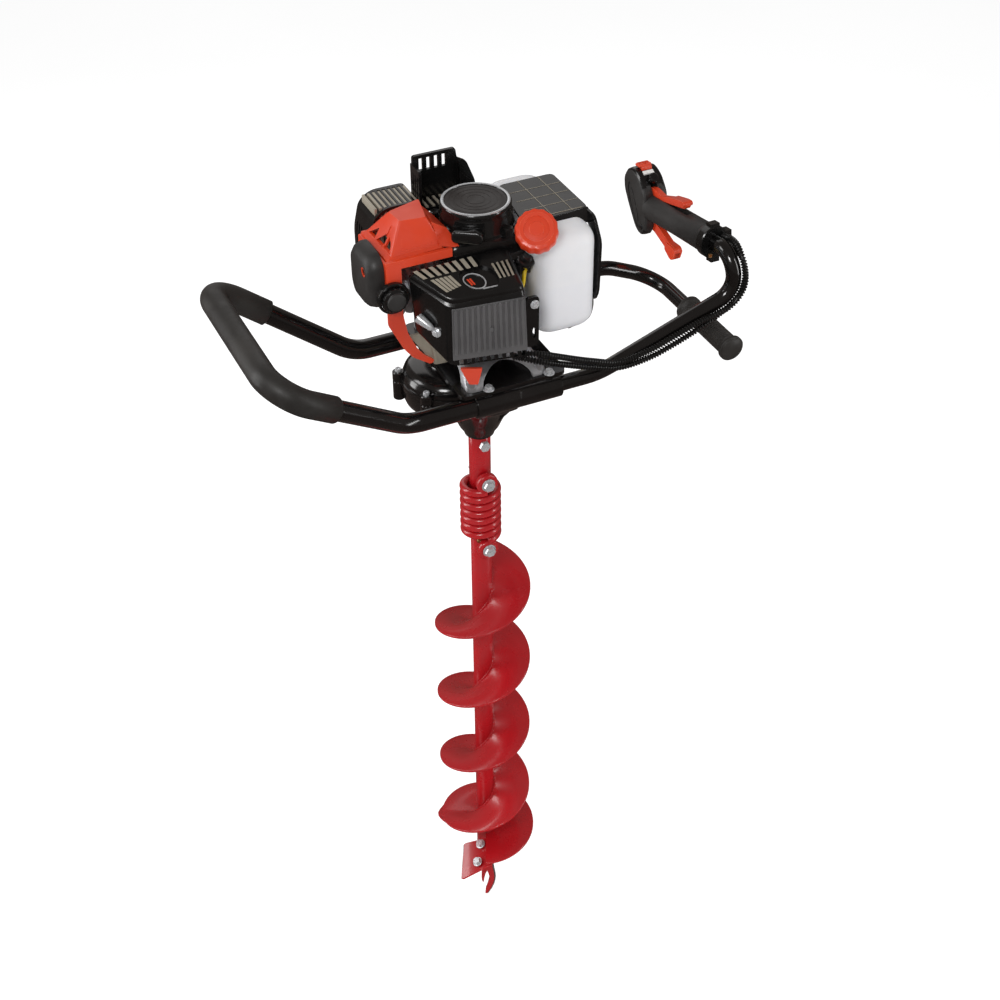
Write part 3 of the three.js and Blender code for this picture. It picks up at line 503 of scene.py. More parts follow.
def boolean(obj, solids, operation):
    """Joins solids to, or cuts them from, an object, one exact operation for each solid."""
    split_wide_faces(obj)
    tools = []
    for solid in solids:
        tool = make_object("tool", [solid])
        split_wide_faces(tool)
        for material in obj.data.materials:
            tool.data.materials.append(material)
        step = obj.modifiers.new("step", "BOOLEAN")
        step.operation = operation
        step.object = tool
        step.solver = "EXACT"
        tools.append(tool)
    bpy.context.view_layer.update()
    apply_modifiers(obj)
    for tool in tools:
        bpy.data.objects.remove(tool)


# The library slot of each finish whose own name is not a slot.
SLOTS = {
    "matt_plastic": "black_plastic", "disc_plastic": "black_plastic", "grey_heat_shield": "cast_aluminium",
    "tan_fin_and_painted_highlight": "cast_aluminium", "brass_pin": "zinc_steel", "yellow_film": "orange_plastic",
}


def piece(name, solids, materials, body="powerhead", slot=None, nodes=None, fuse=(), cuts=(), place=None,
          bevel=0.0, segments=2, angle=35, ride=True, paint=None):
    """One visible piece: loose solids, or a first solid with others fused to it and cut from it.

    It stands for the CAD nodes named, or for the node that has its own name. place moves all of its
    solids. paint picks a material for each face from the face's centre.
    """
    if place:
        solids, fuse, cuts = group(solids, place), group(fuse, place), group(cuts, place)
    obj = make_object(name, solids)
    if not isinstance(materials, list):
        materials = [materials]
    for material in materials:
        obj.data.materials.append(material)
    if slot is None:
        finish = materials[0].name.split(".")[0]
        slot = SLOTS.get(finish, finish)
    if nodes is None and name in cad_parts:
        nodes = [name]
    if fuse:
        boolean(obj, fuse, "UNION")
    if cuts:
        boolean(obj, cuts, "DIFFERENCE")
    if paint:
        for face in obj.data.polygons:
            face.material_index = paint(face.center / MM)
    obj.data.shade_smooth()
    if bevel:
        step = obj.modifiers.new("edge", "BEVEL")
        step.width = bevel * MM
        step.segments = segments
        step.limit_method = "ANGLE"
        step.angle_limit = math.radians(angle)
        step.harden_normals = True
    else:
        obj.data.set_sharp_from_angle(angle=math.radians(angle))
    if nodes:
        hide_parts(*nodes)
    if ride:
        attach(obj, body)
    return obj


# ---------- bit ----------
PITCH, FLAT_TURN, FLAT_PITCH = 150, 1.43, 52
LEAD_TURN, TOP_TURN = 0.68, 5.2
TUBE_R = 15.9


def flight_height(t):
    return PITCH * max(t, FLAT_TURN) - FLAT_PITCH * max(0, FLAT_TURN - t)


def flight_radius(t):
    flare = max(0, min(1, (1.45 - t) / 0.35))
    rise = min(1, (TOP_TURN - t) / 0.06)
    return (76.2 + 7.5 * flare * flare * (3 - 2 * flare)) * (0.72 + 0.28 * math.sqrt(max(0.0, rise)))


def weld(radius, lift, height, start, end):
    """A bead of weld along the foot of a helical plate."""
    count = round((end - start) * 90)
    path = []
    for i in range(count + 1):
        t = start + (end - start) * i / count
        path.append((radius * math.cos(t * TAU), radius * math.sin(t * TAU), height(t) + lift))
    return sweep(path, lambda i: 2.0 + 0.45 * math.sin(i * 2.1), 8, 0.5)


welds = [weld(TUBE_R + 0.6, lift, flight_height, LEAD_TURN + 0.02, TOP_TURN - 0.02) for lift in (5.0, -0.4)]
plate = helicoid(TUBE_R - 0.6, flight_radius, flight_height, 4.5, LEAD_TURN, TOP_TURN)
piece("flighting", [plate] + welds, RED, "bit", angle=50)

LEAD_Z = flight_height(LEAD_TURN)
SECOND_DROP = 12


def second_height(t):
    return LEAD_Z - SECOND_DROP + 130 * (t - LEAD_TURN)


tube_low, tube_high = (v.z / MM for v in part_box("auger_tube"))
second_end = LEAD_TURN + 0.27


def second_radius(t):
    start_taper = max(0, 1 - (t - LEAD_TURN) / 0.02)
    end_taper = max(0, 1 - (second_end - t) / 0.05)
    return 87.2 - 9 * start_taper - 16 * end_taper


second = helicoid(TUBE_R - 0.6, second_radius, second_height, 4.5, LEAD_TURN, second_end)
tube = ring([(13.3, tube_low), (TUBE_R - 0.6, tube_low), (TUBE_R, tube_low + 0.6),
             (TUBE_R, tube_high - 0.6), (TUBE_R - 0.6, tube_high), (13.3, tube_high)])
piece("auger_tube", [tube, moved(second, turn("Z", math.pi))], RED, "bit", angle=50)

LEAD_ANGLE = LEAD_TURN * TAU


def blade(name, spin, drop):
    """A sloping cutting plate with a ground front edge, held by two bolts through the flight above it."""
    place = turn("Z", LEAD_ANGLE + spin) @ at(0, 0, LEAD_Z - 0.3 - drop)
    back_in, back_out = Vector((20, 10, 0)), Vector((82, 10, 0))
    front_in, front_out = Vector((24, -40, -13)), Vector((80, -44, -43))
    thick = Vector((0, 0, -4))
    rings = []
    for t in (0, 0.3, 0.6, 0.8, 0.9, 0.95, 0.98, 1.0):
        inner, outer = back_in.lerp(front_in, t), back_out.lerp(front_out, t)
        trim = 3.5 * max(0, (t - 0.9) / 0.1) ** 2
        inner, outer = inner + Vector((trim, 0, 0)), outer - Vector((trim, 0, 0))
        lift = thick * (1 - 0.85 * max(0, (t - 0.9) / 0.1))
        rings.append([inner + lift, outer + lift, outer, inner])
    heads = []
    for r, y, z in ((34, -9, -3.6), (68, -14, -10.5)):
        for shape in hex_bolt(12, 5.5, 8.5):
            heads.append((moved(shape, place @ at(r, y, z) @ turn("Y", 0.28) @ turn("X", 0.45)), 2))
    solids = [(moved(loft(rings[:7]), place), 0), (moved(loft(rings[6:]), place), 1)] + heads
    piece(name, solids, [RED, EDGE, ZINC], "bit", bevel=0.4)


blade("cutting_blade_front", 0, 0)
blade("cutting_blade_rear", math.pi, SECOND_DROP)

# Fishtail point: a curved claw whose cutting side is bare steel, and a short prong behind it.
CLAW = [(0, -3, 3), (6, -2.5, 6), (12, -2, 9), (20, 0.3, 11.8), (27, 2, 14), (36, 3.6, 15.6), (45, 5, 16.5),
        (54, 3.4, 16), (62, 1, 15), (70, -3.5, 13.8), (78, -8, 13), (84, -9.5, 12.5), (92, -11, 12.5)]
POINT_TURN = turn("Z", -0.44)


def claw(rows, inner):
    """One side of the claw: the red plate inside the edge line, or the bare ground edge outside it."""
    rings = []
    for z, left, right in rows:
        edge = right - 2.6
        a, b = (left, edge) if inner else (edge, right)
        half_a, half_b = (3.0, 3.0) if inner else (3.0, 1.1)
        rings.append([(a, -half_a, z), (b, -half_b, z), (b, half_b, z), (a, half_a, z)])
    return moved(loft(rings), POINT_TURN)


prong = [(24, -7.5, -6.2), (30, -9, -5), (38, -9.6, -4), (48, -9.4, -2), (58, -9, 2), (70, -9, 6)]
prong_plate = loft([[(a, 3.2, z), (b, 3.2, z), (b, 6.4, z), (a, 6.4, z)] for z, a, b in prong])
piece("centre_point", [(claw(CLAW, True), 0), (claw(CLAW, False), 1),
                       (moved(prong_plate, POINT_TURN), 0), (disc(12.6, 84, 112, 0.6, 40), 0)],
      [RED, EDGE], "bit", slot="machined_steel", bevel=0.5, angle=30)


# ---------- shock spring, adapter and their bolts ----------
COIL_R, WIRE_R, COIL_TURNS, COIL_LOW, COIL_HIGH = 25.4, 6.0, 7, 852, 946
EYE_FRONT, EYE_R = -29, 16.5
LOWER_BOLT_Z, UPPER_BOLT_Z, DRIVE_BOLT_Z = 836, 961, 1025
coil_path = []
for i in range(COIL_TURNS * 48 + 1):
    t = i / (COIL_TURNS * 48)
    a = (t * COIL_TURNS - 0.25) * TAU
    coil_path.append((COIL_R * math.cos(a), COIL_R * math.sin(a), COIL_LOW + t * (COIL_HIGH - COIL_LOW)))


def eye(z):
    r, b, e = EYE_R, 5.7, 2.6
    profile = [(b, 0.6), (b + 0.6, 0), (r - e, 0), (r - e * 0.3, e * 0.3), (r, e), (r, 11.5 - e),
               (r - e * 0.3, 11.5 - e * 0.3), (r - e, 11.5), (b + 0.6, 11.5), (b, 10.9)]
    return moved(ring(profile, 48), at(0, EYE_FRONT, z) @ ALONG_Y)


spring = piece("shock_spring", [sweep(coil_path, WIRE_R, 20, 2.5), eye(UPPER_BOLT_Z),
                                eye(LOWER_BOLT_Z)], RED, "drive", angle=60, ride=False)
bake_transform(spring)


def cross_bolt(name, front, back, z, body, head=10.5):
    """A bolt through the tube along Y: shank, washered head in front, nut and thread end behind."""
    solids = [moved(disc(4.9, front - 1, back + 12, 0.6, 32), at(0, 0, z) @ ALONG_Y)]
    for shape in hex_bolt(15, 6, head):
        solids.append(moved(shape, at(0, front - 0.2, z) @ turn("X", math.pi / 2)))
    for shape in hex_bolt(15, 7, 9.5):
        solids.append(moved(shape, at(0, back + 0.2, z) @ ALONG_Y))
    piece(name, solids, ZINC, body, bevel=0.3)


cross_bolt("upper_spring_bolt", EYE_FRONT, 16.3, UPPER_BOLT_Z, "drive")
cross_bolt("lower_spring_bolt", EYE_FRONT, TUBE_R, LOWER_BOLT_Z, "bit")
cross_bolt("drive_bolt", -16.3, 16.3, DRIVE_BOLT_Z, "drive", 0)
piece("lock_pin", [moved(disc(3.4, -18, 18, 0.8, 24), at(0, 0, 846) @ turn("Z", -0.62) @ ALONG_Y)],
      BRASS, "bit", slot="machined_steel")
piece("adapter_tube", [
    ring([(11.9, 932), (15.7, 932), (16.3, 932.6), (16.3, 1036.4), (15.7, 1037), (11.9, 1037)])], RED,
      "drive", angle=50)


# ---------- gear case ----------
SPLIT, LOBE_X = 1148, -45
EARS = [(-112, 26), (-100, -46), (62, 56), (62, -56)]
lower_main = lathe([(0, 1041), (19, 1041), (20.5, 1040.2), (22, 1041), (23.5, 1046), (30, 1056),
                    (36, 1070), (47, 1092), (52, 1100), (58, 1106), (70, 1113), (76, 1119), (78, 1126),
                    (78, 1143), (80, 1143.4), (80, 1147.8), (0, 1147.8)], 96)
lower_lobe = lathe([
    (0, 1110), (49, 1111), (58, 1114), (64, 1119), (67, 1127), (67, 1143), (69, 1143.4), (69, 1147.8),
    (0, 1147.8)], 80)
upper_main = lathe([(0, 1148.1), (80, 1148.1), (80, 1153), (78, 1153.4), (78, 1162), (76, 1168), (71, 1173),
                    (64, 1175.4), (0, 1176)], 96)
upper_lobe = lathe([(0, 1148.1), (69, 1148.1), (69, 1153), (67, 1153.4), (67, 1158), (64, 1166), (58, 1172),
                    (50, 1175), (0, 1176)], 80)
lobe_place = at(LOBE_X, 0, 0)


def ears(z0, z1):
    return [moved(disc(8.6, z0, z1, 1.2, 32), at(x, y, 0)) for x, y in EARS]


def case_ribs():
    """Thin webs under the flange that stiffen the cone."""
    out = []
    for i in range(8):
        web = front_prism([(30, 1062), (48, 1088), (60, 1103), (74, 1114), (74, 1122), (20, 1122),
                           (20, 1062)], -1.6, 1.6)
        out.append(moved(web, turn("Z", TAU * (i + 0.5) / 8)))
    return out


piece("gear_case_lower", [lower_main], BLACK, fuse=[moved(lower_lobe, lobe_place)] +
      ears(SPLIT - 30, SPLIT - 0.2) + case_ribs(), cuts=[disc(13.5, 1020, 1100, 0.3, 64)], bevel=0.7)
piece("gear_case_upper", [upper_main], BLACK, fuse=[moved(upper_lobe, lobe_place)] +
      ears(SPLIT + 0.2, SPLIT + 15) + [moved(disc(30, 1170, 1177.6, 1, 64), lobe_place)], bevel=0.7)
screws = []
for x, y in EARS:
    screws += group(screw_head(4.6, 4.4), at(x, y, SPLIT + 15))
piece("case_screw", screws, ZINC)


# ---------- handle carrier and bars ----------
BAR_Y, BAR_Z, PLATE_LOW, PLATE_HIGH = 100, 1162, 1178, 1184
carrier_outline = rounded([(-72, -104), (88, -104), (88, 104), (-72, 104)], 12)
sleeves = []
for side in (-1, 1):
    profile = [(14.7, -52), (16.4, -52), (17.2, -51.2), (17.2, 12), (16.7, 12.3), (16.7, 13.3),
               (17.2, 13.6), (17.2, 76.2), (16.4, 77), (14.7, 77)]
    sleeves.append(moved(ring(profile, 56), at(0, side * BAR_Y, BAR_Z) @ ALONG_X))
piece("handle_carrier", [prism(carrier_outline, PLATE_LOW, PLATE_HIGH)] + sleeves, BLACK, bevel=0.8)
screws = []
for x in (-30, 62):
    for side in (-1, 1):
        screws += group(hex_bolt(10, 4.5, 8), at(x, side * BAR_Y, PLATE_HIGH))
piece("clamp_screw", screws, ZINC, bevel=0.3)

LOOP = [(72, -100, 1162), (-150, -100, 1162), (-343, -152, 1296), (-343, 152, 1296), (-150, 100, 1162),
        (72, 100, 1162)]
piece("left_loop_tube", [sweep(bent_path(LOOP, [70, 46, 46, 70], 4), 14.3, 48)], BLACK, angle=50)


def between(a, b, k):
    return tuple(Vector(a).lerp(Vector(b), k))


pad_path = bent_path([between(LOOP[1], LOOP[2], 0.58), LOOP[2], LOOP[3], between(LOOP[4], LOOP[3], 0.58)],
                     [46, 46], 4)
piece("loop_pad", [sweep(pad_path, 18.3, 48, 3.0)], RUBBER, angle=60)

GRIP_X, GRIP_Z, SLOPE = 346, 1287.5, 0.15
FRONT_BAR = [(12, -100, 1162), (140, -100, 1162), (352, -103, 1241),
             (GRIP_X, -103, GRIP_Z + 103 * SLOPE), (GRIP_X, 95, GRIP_Z - 95 * SLOPE)]
REAR_Z = 1160
REAR_BAR = [(12, 100, 1162), (122, 100, 1162), (240, 100, 1205), (GRIP_X - 4, 100, REAR_Z),
            (GRIP_X - 4, -120, REAR_Z)]
piece("right_front_bar", [sweep(bent_path(FRONT_BAR, [120, 34, 31], 4), 11.1, 40)], BLACK, angle=50)
piece("right_rear_bar", [sweep(bent_path(REAR_BAR, [120, 90, 46], 4), 11.1, 40)], BLACK, angle=50)
piece("bar_band", [moved(ring([(11.2, 0), (11.7, 0), (11.7, 24), (11.2, 24)], 40),
                         at(188, 100, 1185.9) @ turn("Y", math.pi / 2 - 0.35))], YELLOW)

profile = [(0, 0), (16.4, 0), (17, 0.5), (17.4, 1.6), (18.6, 2), (19.4, 3), (19.4, 7), (18.4, 8.4),
           (16.6, 9.4)]
for i in range(26):
    z = 11 + i * 4
    profile += [(16.0 - i * 0.01, z), (16.0 - i * 0.01, z + 2.7), (15.5 - i * 0.01, z + 3.1),
                (15.5 - i * 0.01, z + 3.6)]
profile += [(15.9, 116), (19.2, 119), (20, 120.4), (20, 125), (19, 126), (11.6, 126), (11.6, 60), (0, 60)]
piece("rear_grip", [moved(lathe(profile, 56), at(GRIP_X - 4, -128, REAR_Z) @ ALONG_Y)], RUBBER, angle=40)


# ---------- throttle grip ----------
GRIP = at(GRIP_X, 0, GRIP_Z) @ turn("X", -math.atan(SLOPE))


head = [(112, -22), (115, -32), (123, -43), (134, -46), (146, -38), (164, -8), (177, 18), (177, 38),
        (164, 52), (146, 56), (128, 46), (118, 32), (112, 22)]
head_round = rounded(head, 7, 4)


def shrunk(outline, k, centre):
    return [(centre[0] + (y - centre[0]) * k, centre[1] + (z - centre[1]) * k) for y, z in outline]


HEAD_MID = (146, 6)
head_rings = []
head_levels = [(20, 0.86), (19.2, 0.93), (17, 0.985), (13, 1.0)]
for x, k in [(-x, k) for x, k in head_levels] + head_levels[::-1]:
    head_rings.append([(x, y, z) for y, z in shrunk(head_round, k, HEAD_MID)])
sleeve = [(11.6, -39.8), (20.9, -39.8), (21.5, -39), (21.5, -34), (21.0, -33)]
sleeve += [(21.3 - 0.5 * math.sin(math.pi * (y + 30) / 140), y) for y in range(-30, 111, 10)]
sleeve += [(21.5, 112), (22, 118), (11.6, 118)]
recess_low = rounded([(131, -34), (139, -33), (160, 4), (164, 24), (158, 34), (149, 22), (134, -14)], 6, 4)
GRIP_BACK = GRIP.inverted()


def head_finish(centre):
    """The head is glossy except on its flat left face, and the sleeve is matt."""
    x, y, z = GRIP_BACK @ centre
    return 1 if y > 119 and x > -18.4 else 0


housing_cuts = [side_prism(recess_low, -30, -18.8), box(-5.4, 5.4, 74, 150, -70, -13),
                box(-5.4, 5.4, 14, 132, 12.5, 70), box(-9, 9, 138, 160.5, 40, 70),
                box(-0.3, 0.3, -60, 92, -30, -20.2), box(-0.3, 0.3, -60, 14, 20.2, 30)]
piece("throttle_housing", [loft(head_rings)], [MATT, GLOSSY],
      nodes=["throttle_housing_left", "throttle_housing_right"], place=GRIP,
      fuse=[moved(ring(sleeve, 64), ALONG_Y)], cuts=housing_cuts, bevel=0.8, angle=30,
      paint=head_finish)
rim = rounded(shrunk(recess_low, 0.74, (149, -2)), 3, 3)
piece("throttle_slot_rim", [side_prism(rim, -19.9, -18.4)], MATT, place=GRIP, bevel=0.4)
piece("housing_boss", [
    moved(disc(7.5, 16, 24.5, 1.6, 32), at(0, 128, 38) @ turn("X", 0.9) @ at(0, 0, -10)),
    moved(disc(4.4, -21.2, -19.5, 0.5, 24), at(0, 126, -30) @ ALONG_X)], GLOSSY, place=GRIP)
trigger_outline = rounded([(138, -28), (136, -20), (114, -20), (96, -28), (68, -41), (54, -43),
                           (49, -49), (57, -64), (65, -64), (86, -50), (112, -38), (130, -33)], 3, 3)


def pin(y, z):
    """A hinge pin across the grip."""
    return moved(disc(2, -11, 11, 0.2, 24), at(0, y, z) @ ALONG_X)


finger_pad = rounded([(76, -42), (54, -43.5), (49, -49), (57, -64), (65, -64), (80, -53)], 3, 3)
piece("throttle_trigger", [side_prism(trigger_outline, -4.4, 4.4), pin(134, -24),
                           side_prism(finger_pad, -7, 7)], ORANGE, "trigger", place=GRIP, bevel=1.2,
      segments=3)
lever_outline = rounded([(126, 19), (126, 29), (112, 31), (88, 26), (60, 33), (30, 37), (20, 37),
                         (17, 33), (21, 27), (60, 22), (100, 18)], 2.5, 3)
thumb_pad = rounded([(64, 30.5), (60, 33.6), (30, 38), (20, 38), (17, 34.5), (20, 30.5)], 2, 3)
piece("lockout_lever", [side_prism(lever_outline, -4.4, 4.4), pin(122, 24),
                        side_prism(thumb_pad, -7.6, 7.6)], ORANGE, "lockout", place=GRIP, bevel=1.2,
      segments=3)
rocker = side_prism(rounded([(138.6, 42), (138.6, 56), (143, 60.5), (152.2, 60), (152.2, 42)], 2, 3),
                    -8.6, 8.6)
piece("stop_switch", [rocker, box(-12.5, 8.4, 140, 151.6, 57.2, 60.6)] +
      [box(-11.6, 7.6, 141 + i * 2.8, 142.2 + i * 2.8, 60, 61.8) for i in range(4)], ORANGE,
      "stop_switch", place=GRIP, bevel=0.7)
piece("switch_mark", [moved(box(-8.5, 8.5, -3.4, 3.4, -1.4, 1.2), at(-1, 133, 49.6) @ turn("X", 0.5))],
      CERAMIC, place=GRIP, bevel=0.3)
ports = [(14.5, 6.5), (16.5, -5.5)]
collar = ring([(11.0, -56), (22.6, -56), (24, -54.6), (24, -42), (22.6, -40.5), (11.0, -40.5)], 56)
blocks = [box(6.3, 27, -55.8, -40.7, -13, 14), box(-6.7, 6.9, -55, -41.5, -29, -17),
          box(-5.9, 8.3, -55, -41.5, 17, 28)]
bores = [moved(disc(11.7, -80, 0, 0.2, 48), ALONG_Y)]
bores += [moved(disc(5.3, -70, -48, 0.2, 32), at(x, 0, z) @ ALONG_Y) for x, z in ports]
piece("grip_collar", [moved(collar, ALONG_Y)], GLOSSY, place=GRIP, fuse=blocks, cuts=bores, bevel=1.0)
piece("collar_screw", group(screw_head(3.2, 2.6), at(-9, -55.6, -17) @ turn("X", math.pi / 2)), BRASS,
      place=GRIP)


# ---------- conduits ----------
def conduit(name, points):
    """A corrugated tube: ridges 4.2 mm apart along its length."""
    rough_length = sum((Vector(b) - Vector(a)).length for a, b in zip(points, points[1:]))
    ridges = round(rough_length / 4.2)
    path = smooth_path(points, ridges * 4)
    radii = [2.9, 4.7, 4.7, 2.9]
    piece(name, [sweep(path, lambda i: radii[i % 4], 20, 0.5)], CONDUIT, angle=24)


conduit("throttle_conduit", [
    (4, -104, 1229), (24, -114, 1235), (46, -119, 1230), (69, -119, 1220), (116, -119, 1200),
    (163, -119, 1185), (211, -119, 1191), (252, -119, 1204), (285, -119, 1215), (313, -118.5, 1221),
    (338.5, -117, 1227), (354.8, -116.5, 1242), (361, -116.5, 1265), (359, -108.5, 1292.5),
    (360, -90, 1306), (360.5, -72, 1307.5), (360.5, -62, 1304.5), (360.5, -50.5, 1301.5)])
conduit("switch_conduit", [(12, -92, 1222), (24, -108, 1223), (46, -115, 1216), (71, -116, 1206),
                           (118, -116, 1188), (165, -116, 1174), (213, -116, 1177), (254, -116, 1189),
                           (290, -115, 1202), (318, -111, 1211), (341, -108, 1221),
                           (359.3, -108, 1239.5), (366, -108, 1264), (365, -100, 1287),
                           (364, -84, 1293.5), (363, -66, 1292), (362.5, -51.5, 1289.7)])


# ---------- engine base ----------
FEET = [(-51, -90), (51, -90), (51, 90), (-51, 90)]


def base_ring(z, x, y, radius):
    return [(px, py, z) for px, py in rounded([(-x, -y), (x, -y), (x, y), (-x, y)], radius, 8)]


def base_body(i):
    """Four-footed casting: a wide foot print that draws in to a round hub. i is the wall inset."""
    return loft([base_ring(1184.3 - i, 60 - i, 99 - i, 12), base_ring(1190, 60 - i, 98 - i, 12),
                 base_ring(1203 - i / 2, 55 - i, 86 - i, 22), base_ring(1216 - i / 2, 48 - i, 64 - i, 34),
                 base_ring(1230 - i, 44 - i, 47 - i, 41), base_ring(1240 - i, 43.5 - i, 44 - i, 40)])


hub = lathe([(0, 1238), (43.4, 1238), (43.2, 1262), (46, 1264), (46, 1266), (0, 1266)], 80)
long_arch = at(0, 0, 1184) @ ALONG_X @ Matrix.Diagonal((26, 76, 1, 1))
short_arch = at(0, 0, 1184) @ ALONG_Y @ Matrix.Diagonal((38, 25, 1, 1))
base_cuts = [base_body(5), moved(disc(1, -80, 80, 0.001, 64), long_arch),
             moved(disc(1, -120, 120, 0.001, 64), short_arch)]
base_cuts += [disc(36, 1190, 1252, 0.5, 72), disc(11, 1240, 1280, 0.3, 40)]
piece("engine_base", [base_body(0)], ALLOY, fuse=[hub], cuts=base_cuts, bevel=1.3, segments=3)
piece("foot_bolts", [moved(disc(7.5, 0, 16, 1.5, 32), at(x, y, 1184.3)) for x, y in FEET], ALLOY)
gusset = front_prism(rounded([(-15, 1226), (15, 1226), (9, 1200), (-3, 1200)], 2, 3), -13, -9)
piece("foot_gusset", [moved(gusset, at(-50, -89, 0) @ turn("Z", -0.44))], ORANGE, bevel=0.8)


# ---------- muffler cover ----------
COVER_LOW = [(-88, -110, 1243), (17, -130, 1243), (24, -49.5, 1243), (-118, -49.5, 1279)]
COVER_HIGH = [(-86, -106, 1341), (14, -126, 1347), (24, -51, 1371), (-126, -51, 1367)]
BOTTOM = Face(*COVER_LOW)
TOP = Face(*COVER_HIGH)
FRONT = Face(COVER_LOW[0], COVER_LOW[1], COVER_HIGH[1], COVER_HIGH[0])
COVER_ROUND = rounded([(0, 0), (1, 0), (1, 1), (0, 1)], 0.13, 7)


def cover_ring(t, scale=1.0, lift=0.0):
    """One level of the cover, from its open bottom at t = 0 to its top at t = 1, drawn in by scale."""
    ring_points = []
    for u, v in COVER_ROUND:
        u, v = 0.5 + (u - 0.5) * scale, 0.5 + (v - 0.5) * scale
        ring_points.append(BOTTOM.point(u, v).lerp(TOP.point(u, v), t) + TOP.normal * lift)
    return ring_points


shell = loft([cover_ring(0, 0.97), cover_ring(0.015, 0.99), cover_ring(0.05), cover_ring(0.9),
              cover_ring(1.0, 0.995, -6.5), cover_ring(1.0, 0.98, -3.6), cover_ring(1.0, 0.95, -1.4),
              cover_ring(1.0, 0.90, -0.2)] + [cover_ring(1.0, k) for k in (0.84, 0.6, 0.35, 0.08)])
core = loft([cover_ring(-0.12, 0.9), cover_ring(0.85, 0.9)] +
            [cover_ring(1.0, k, -8) for k in (0.86, 0.6, 0.35, 0.08)])
VENTS = [0.10 + 0.075 * i for i in range(8)]
SIDE_VENTS = [0.78 + 0.05 * i for i in range(4)]
openings = [TOP.patch(u, u + 0.03, 0.72, 0.93, -5, 6) for u in VENTS]
openings += [TOP.patch(u, u + 0.022, 0.34, 0.66, -5, 6) for u in SIDE_VENTS]
front_slots = [FRONT.patch(0.1 + 0.1 * i, 0.155 + 0.1 * i, 0.015, 0.2, -14, 8) for i in range(9)]
piece("muffler_cover", [shell], GLOSSY, cuts=[core, TOP.oval(0.55, 0.42, 0.2, 0.33, -4.5, 12)] +
      openings + front_slots, bevel=0.8)
# Painted highlight: tan bars on the black cover top stand for its highlights.
vent_bars = [TOP.patch(u - 0.043, u - 0.002, 0.70, 0.95, -0.6, 0.8) for u in VENTS]
vent_bars += [TOP.patch(u - 0.026, u - 0.002, 0.32, 0.68, -0.6, 0.8) for u in SIDE_VENTS]
vent_bars += [TOP.patch(0.1 + 0.045 * i, 0.134 + 0.045 * i, 0.26 + 0.02 * i, 0.64, -0.6, 0.6)
              for i in range(5)]
piece("cover_vents", vent_bars, TAN, bevel=0.4)
RIB_COUNT = 13
ribs = []
for i in range(RIB_COUNT):
    u = 0.045 + i * 0.0725
    ribs.append(FRONT.slab([(u, 0.19), (u + 0.036, 0.19), (u + 0.038, 0.83), (u + 0.028, 0.865),
                            (u + 0.01, 0.865), (u, 0.83)], 0.6, 3.4))
rivet = FRONT.oval(0.52, 0.5, 0.026, 0.03, 0.6, 4.6)
piece("heat_shield", [FRONT.patch(0.02, 0.98, 0.10, 0.88, -1.5, 1.1), rivet] + ribs, SHIELD, bevel=0.6)
piece("heat_mark", [TOP.hoop(0.5, 0.42, 0.115, 0.2, 0.012, -4.8, -3.6),
                    TOP.patch(0.52, 0.72, 0.20, 0.225, -4.8, -3.8)], ZINC)
piece("heat_mark_core", [TOP.patch(0.435 + 0.028 * i, 0.452 + 0.028 * i, 0.34, 0.5, -4.8, -3.4)
                         for i in range(2)], ORANGE, bevel=0.2)
stay_outline = rounded([(14, 1254), (33, 1254), (33, 1330), (14, 1330)], 6, 5)
slot_place = at(26, 0, 1274) @ ALONG_Y @ Matrix.Diagonal((2.6, 9, 1, 1))
piece("cover_stay", [front_prism(stay_outline, -126, -121)], GLOSSY,
      cuts=[moved(disc(1, -140, -110, 0.001, 32), slot_place)], bevel=1.2)
piece("stay_screw", group(hex_bolt(8, 3.6, 6.4), at(26, -126, 1319) @ turn("X", math.pi / 2)), ZINC,
      bevel=0.4)
SIDE_OUT = turn("Z", math.radians(212)) @ ALONG_X
piece("cover_screw", group([disc(7.2, -3, 1.6, 0.8, 40)] + hex_bolt(8, 5, 0),
                           at(-99, -88, 1288) @ SIDE_OUT), ZINC, bevel=0.4)
spout = loft([[(r * math.cos(a), r * math.sin(a), z) for a in [TAU * k / 32 for k in range(32)]]
              for z, r in ((0, 3.2), (3, 4.6), (14, 6.2), (24, 7.0), (24.4, 6.2), (16, 5.2))])
spout_place = at(-104, -86, 1294) @ turn("Z", math.radians(122)) @ turn("Y", 1.15)
piece("exhaust_spout", [spout], ZINC, place=spout_place)


# ---------- hood, side cover and knob ----------
def hood_shell(i):
    """A faceted shell that steps in above a band round its foot. i is the wall inset."""
    stages = [
        (1376 - i, [(-146 + i, -45 + i), (-62, -38 + i), (-62, 50 - i), (-148 + i, 50 - i)], 4),
        (1382 - i, [(-145 + i, -44 + i), (-62, -37 + i), (-62, 50 - i), (-147 + i, 49 - i)], 4),
        (1385 - i, [(-138 + i, -38 + i), (-64, -33 + i), (-64, 48 - i), (-141 + i, 43 - i)], 3),
        (1417 - i, [(-120 + i, -20 + i), (-78, -25 + i), (-68, 32 - i), (-123 + i, 18 - i)], 3),
        (1422 - i, [(-116 + i, -16 + i), (-81, -21 + i), (-70, 29 - i), (-119 + i, 14 - i)], 4),
    ]
    return loft([[(x, y, z) for x, y in rounded(o, r, 3)] for z, o, r in stages])


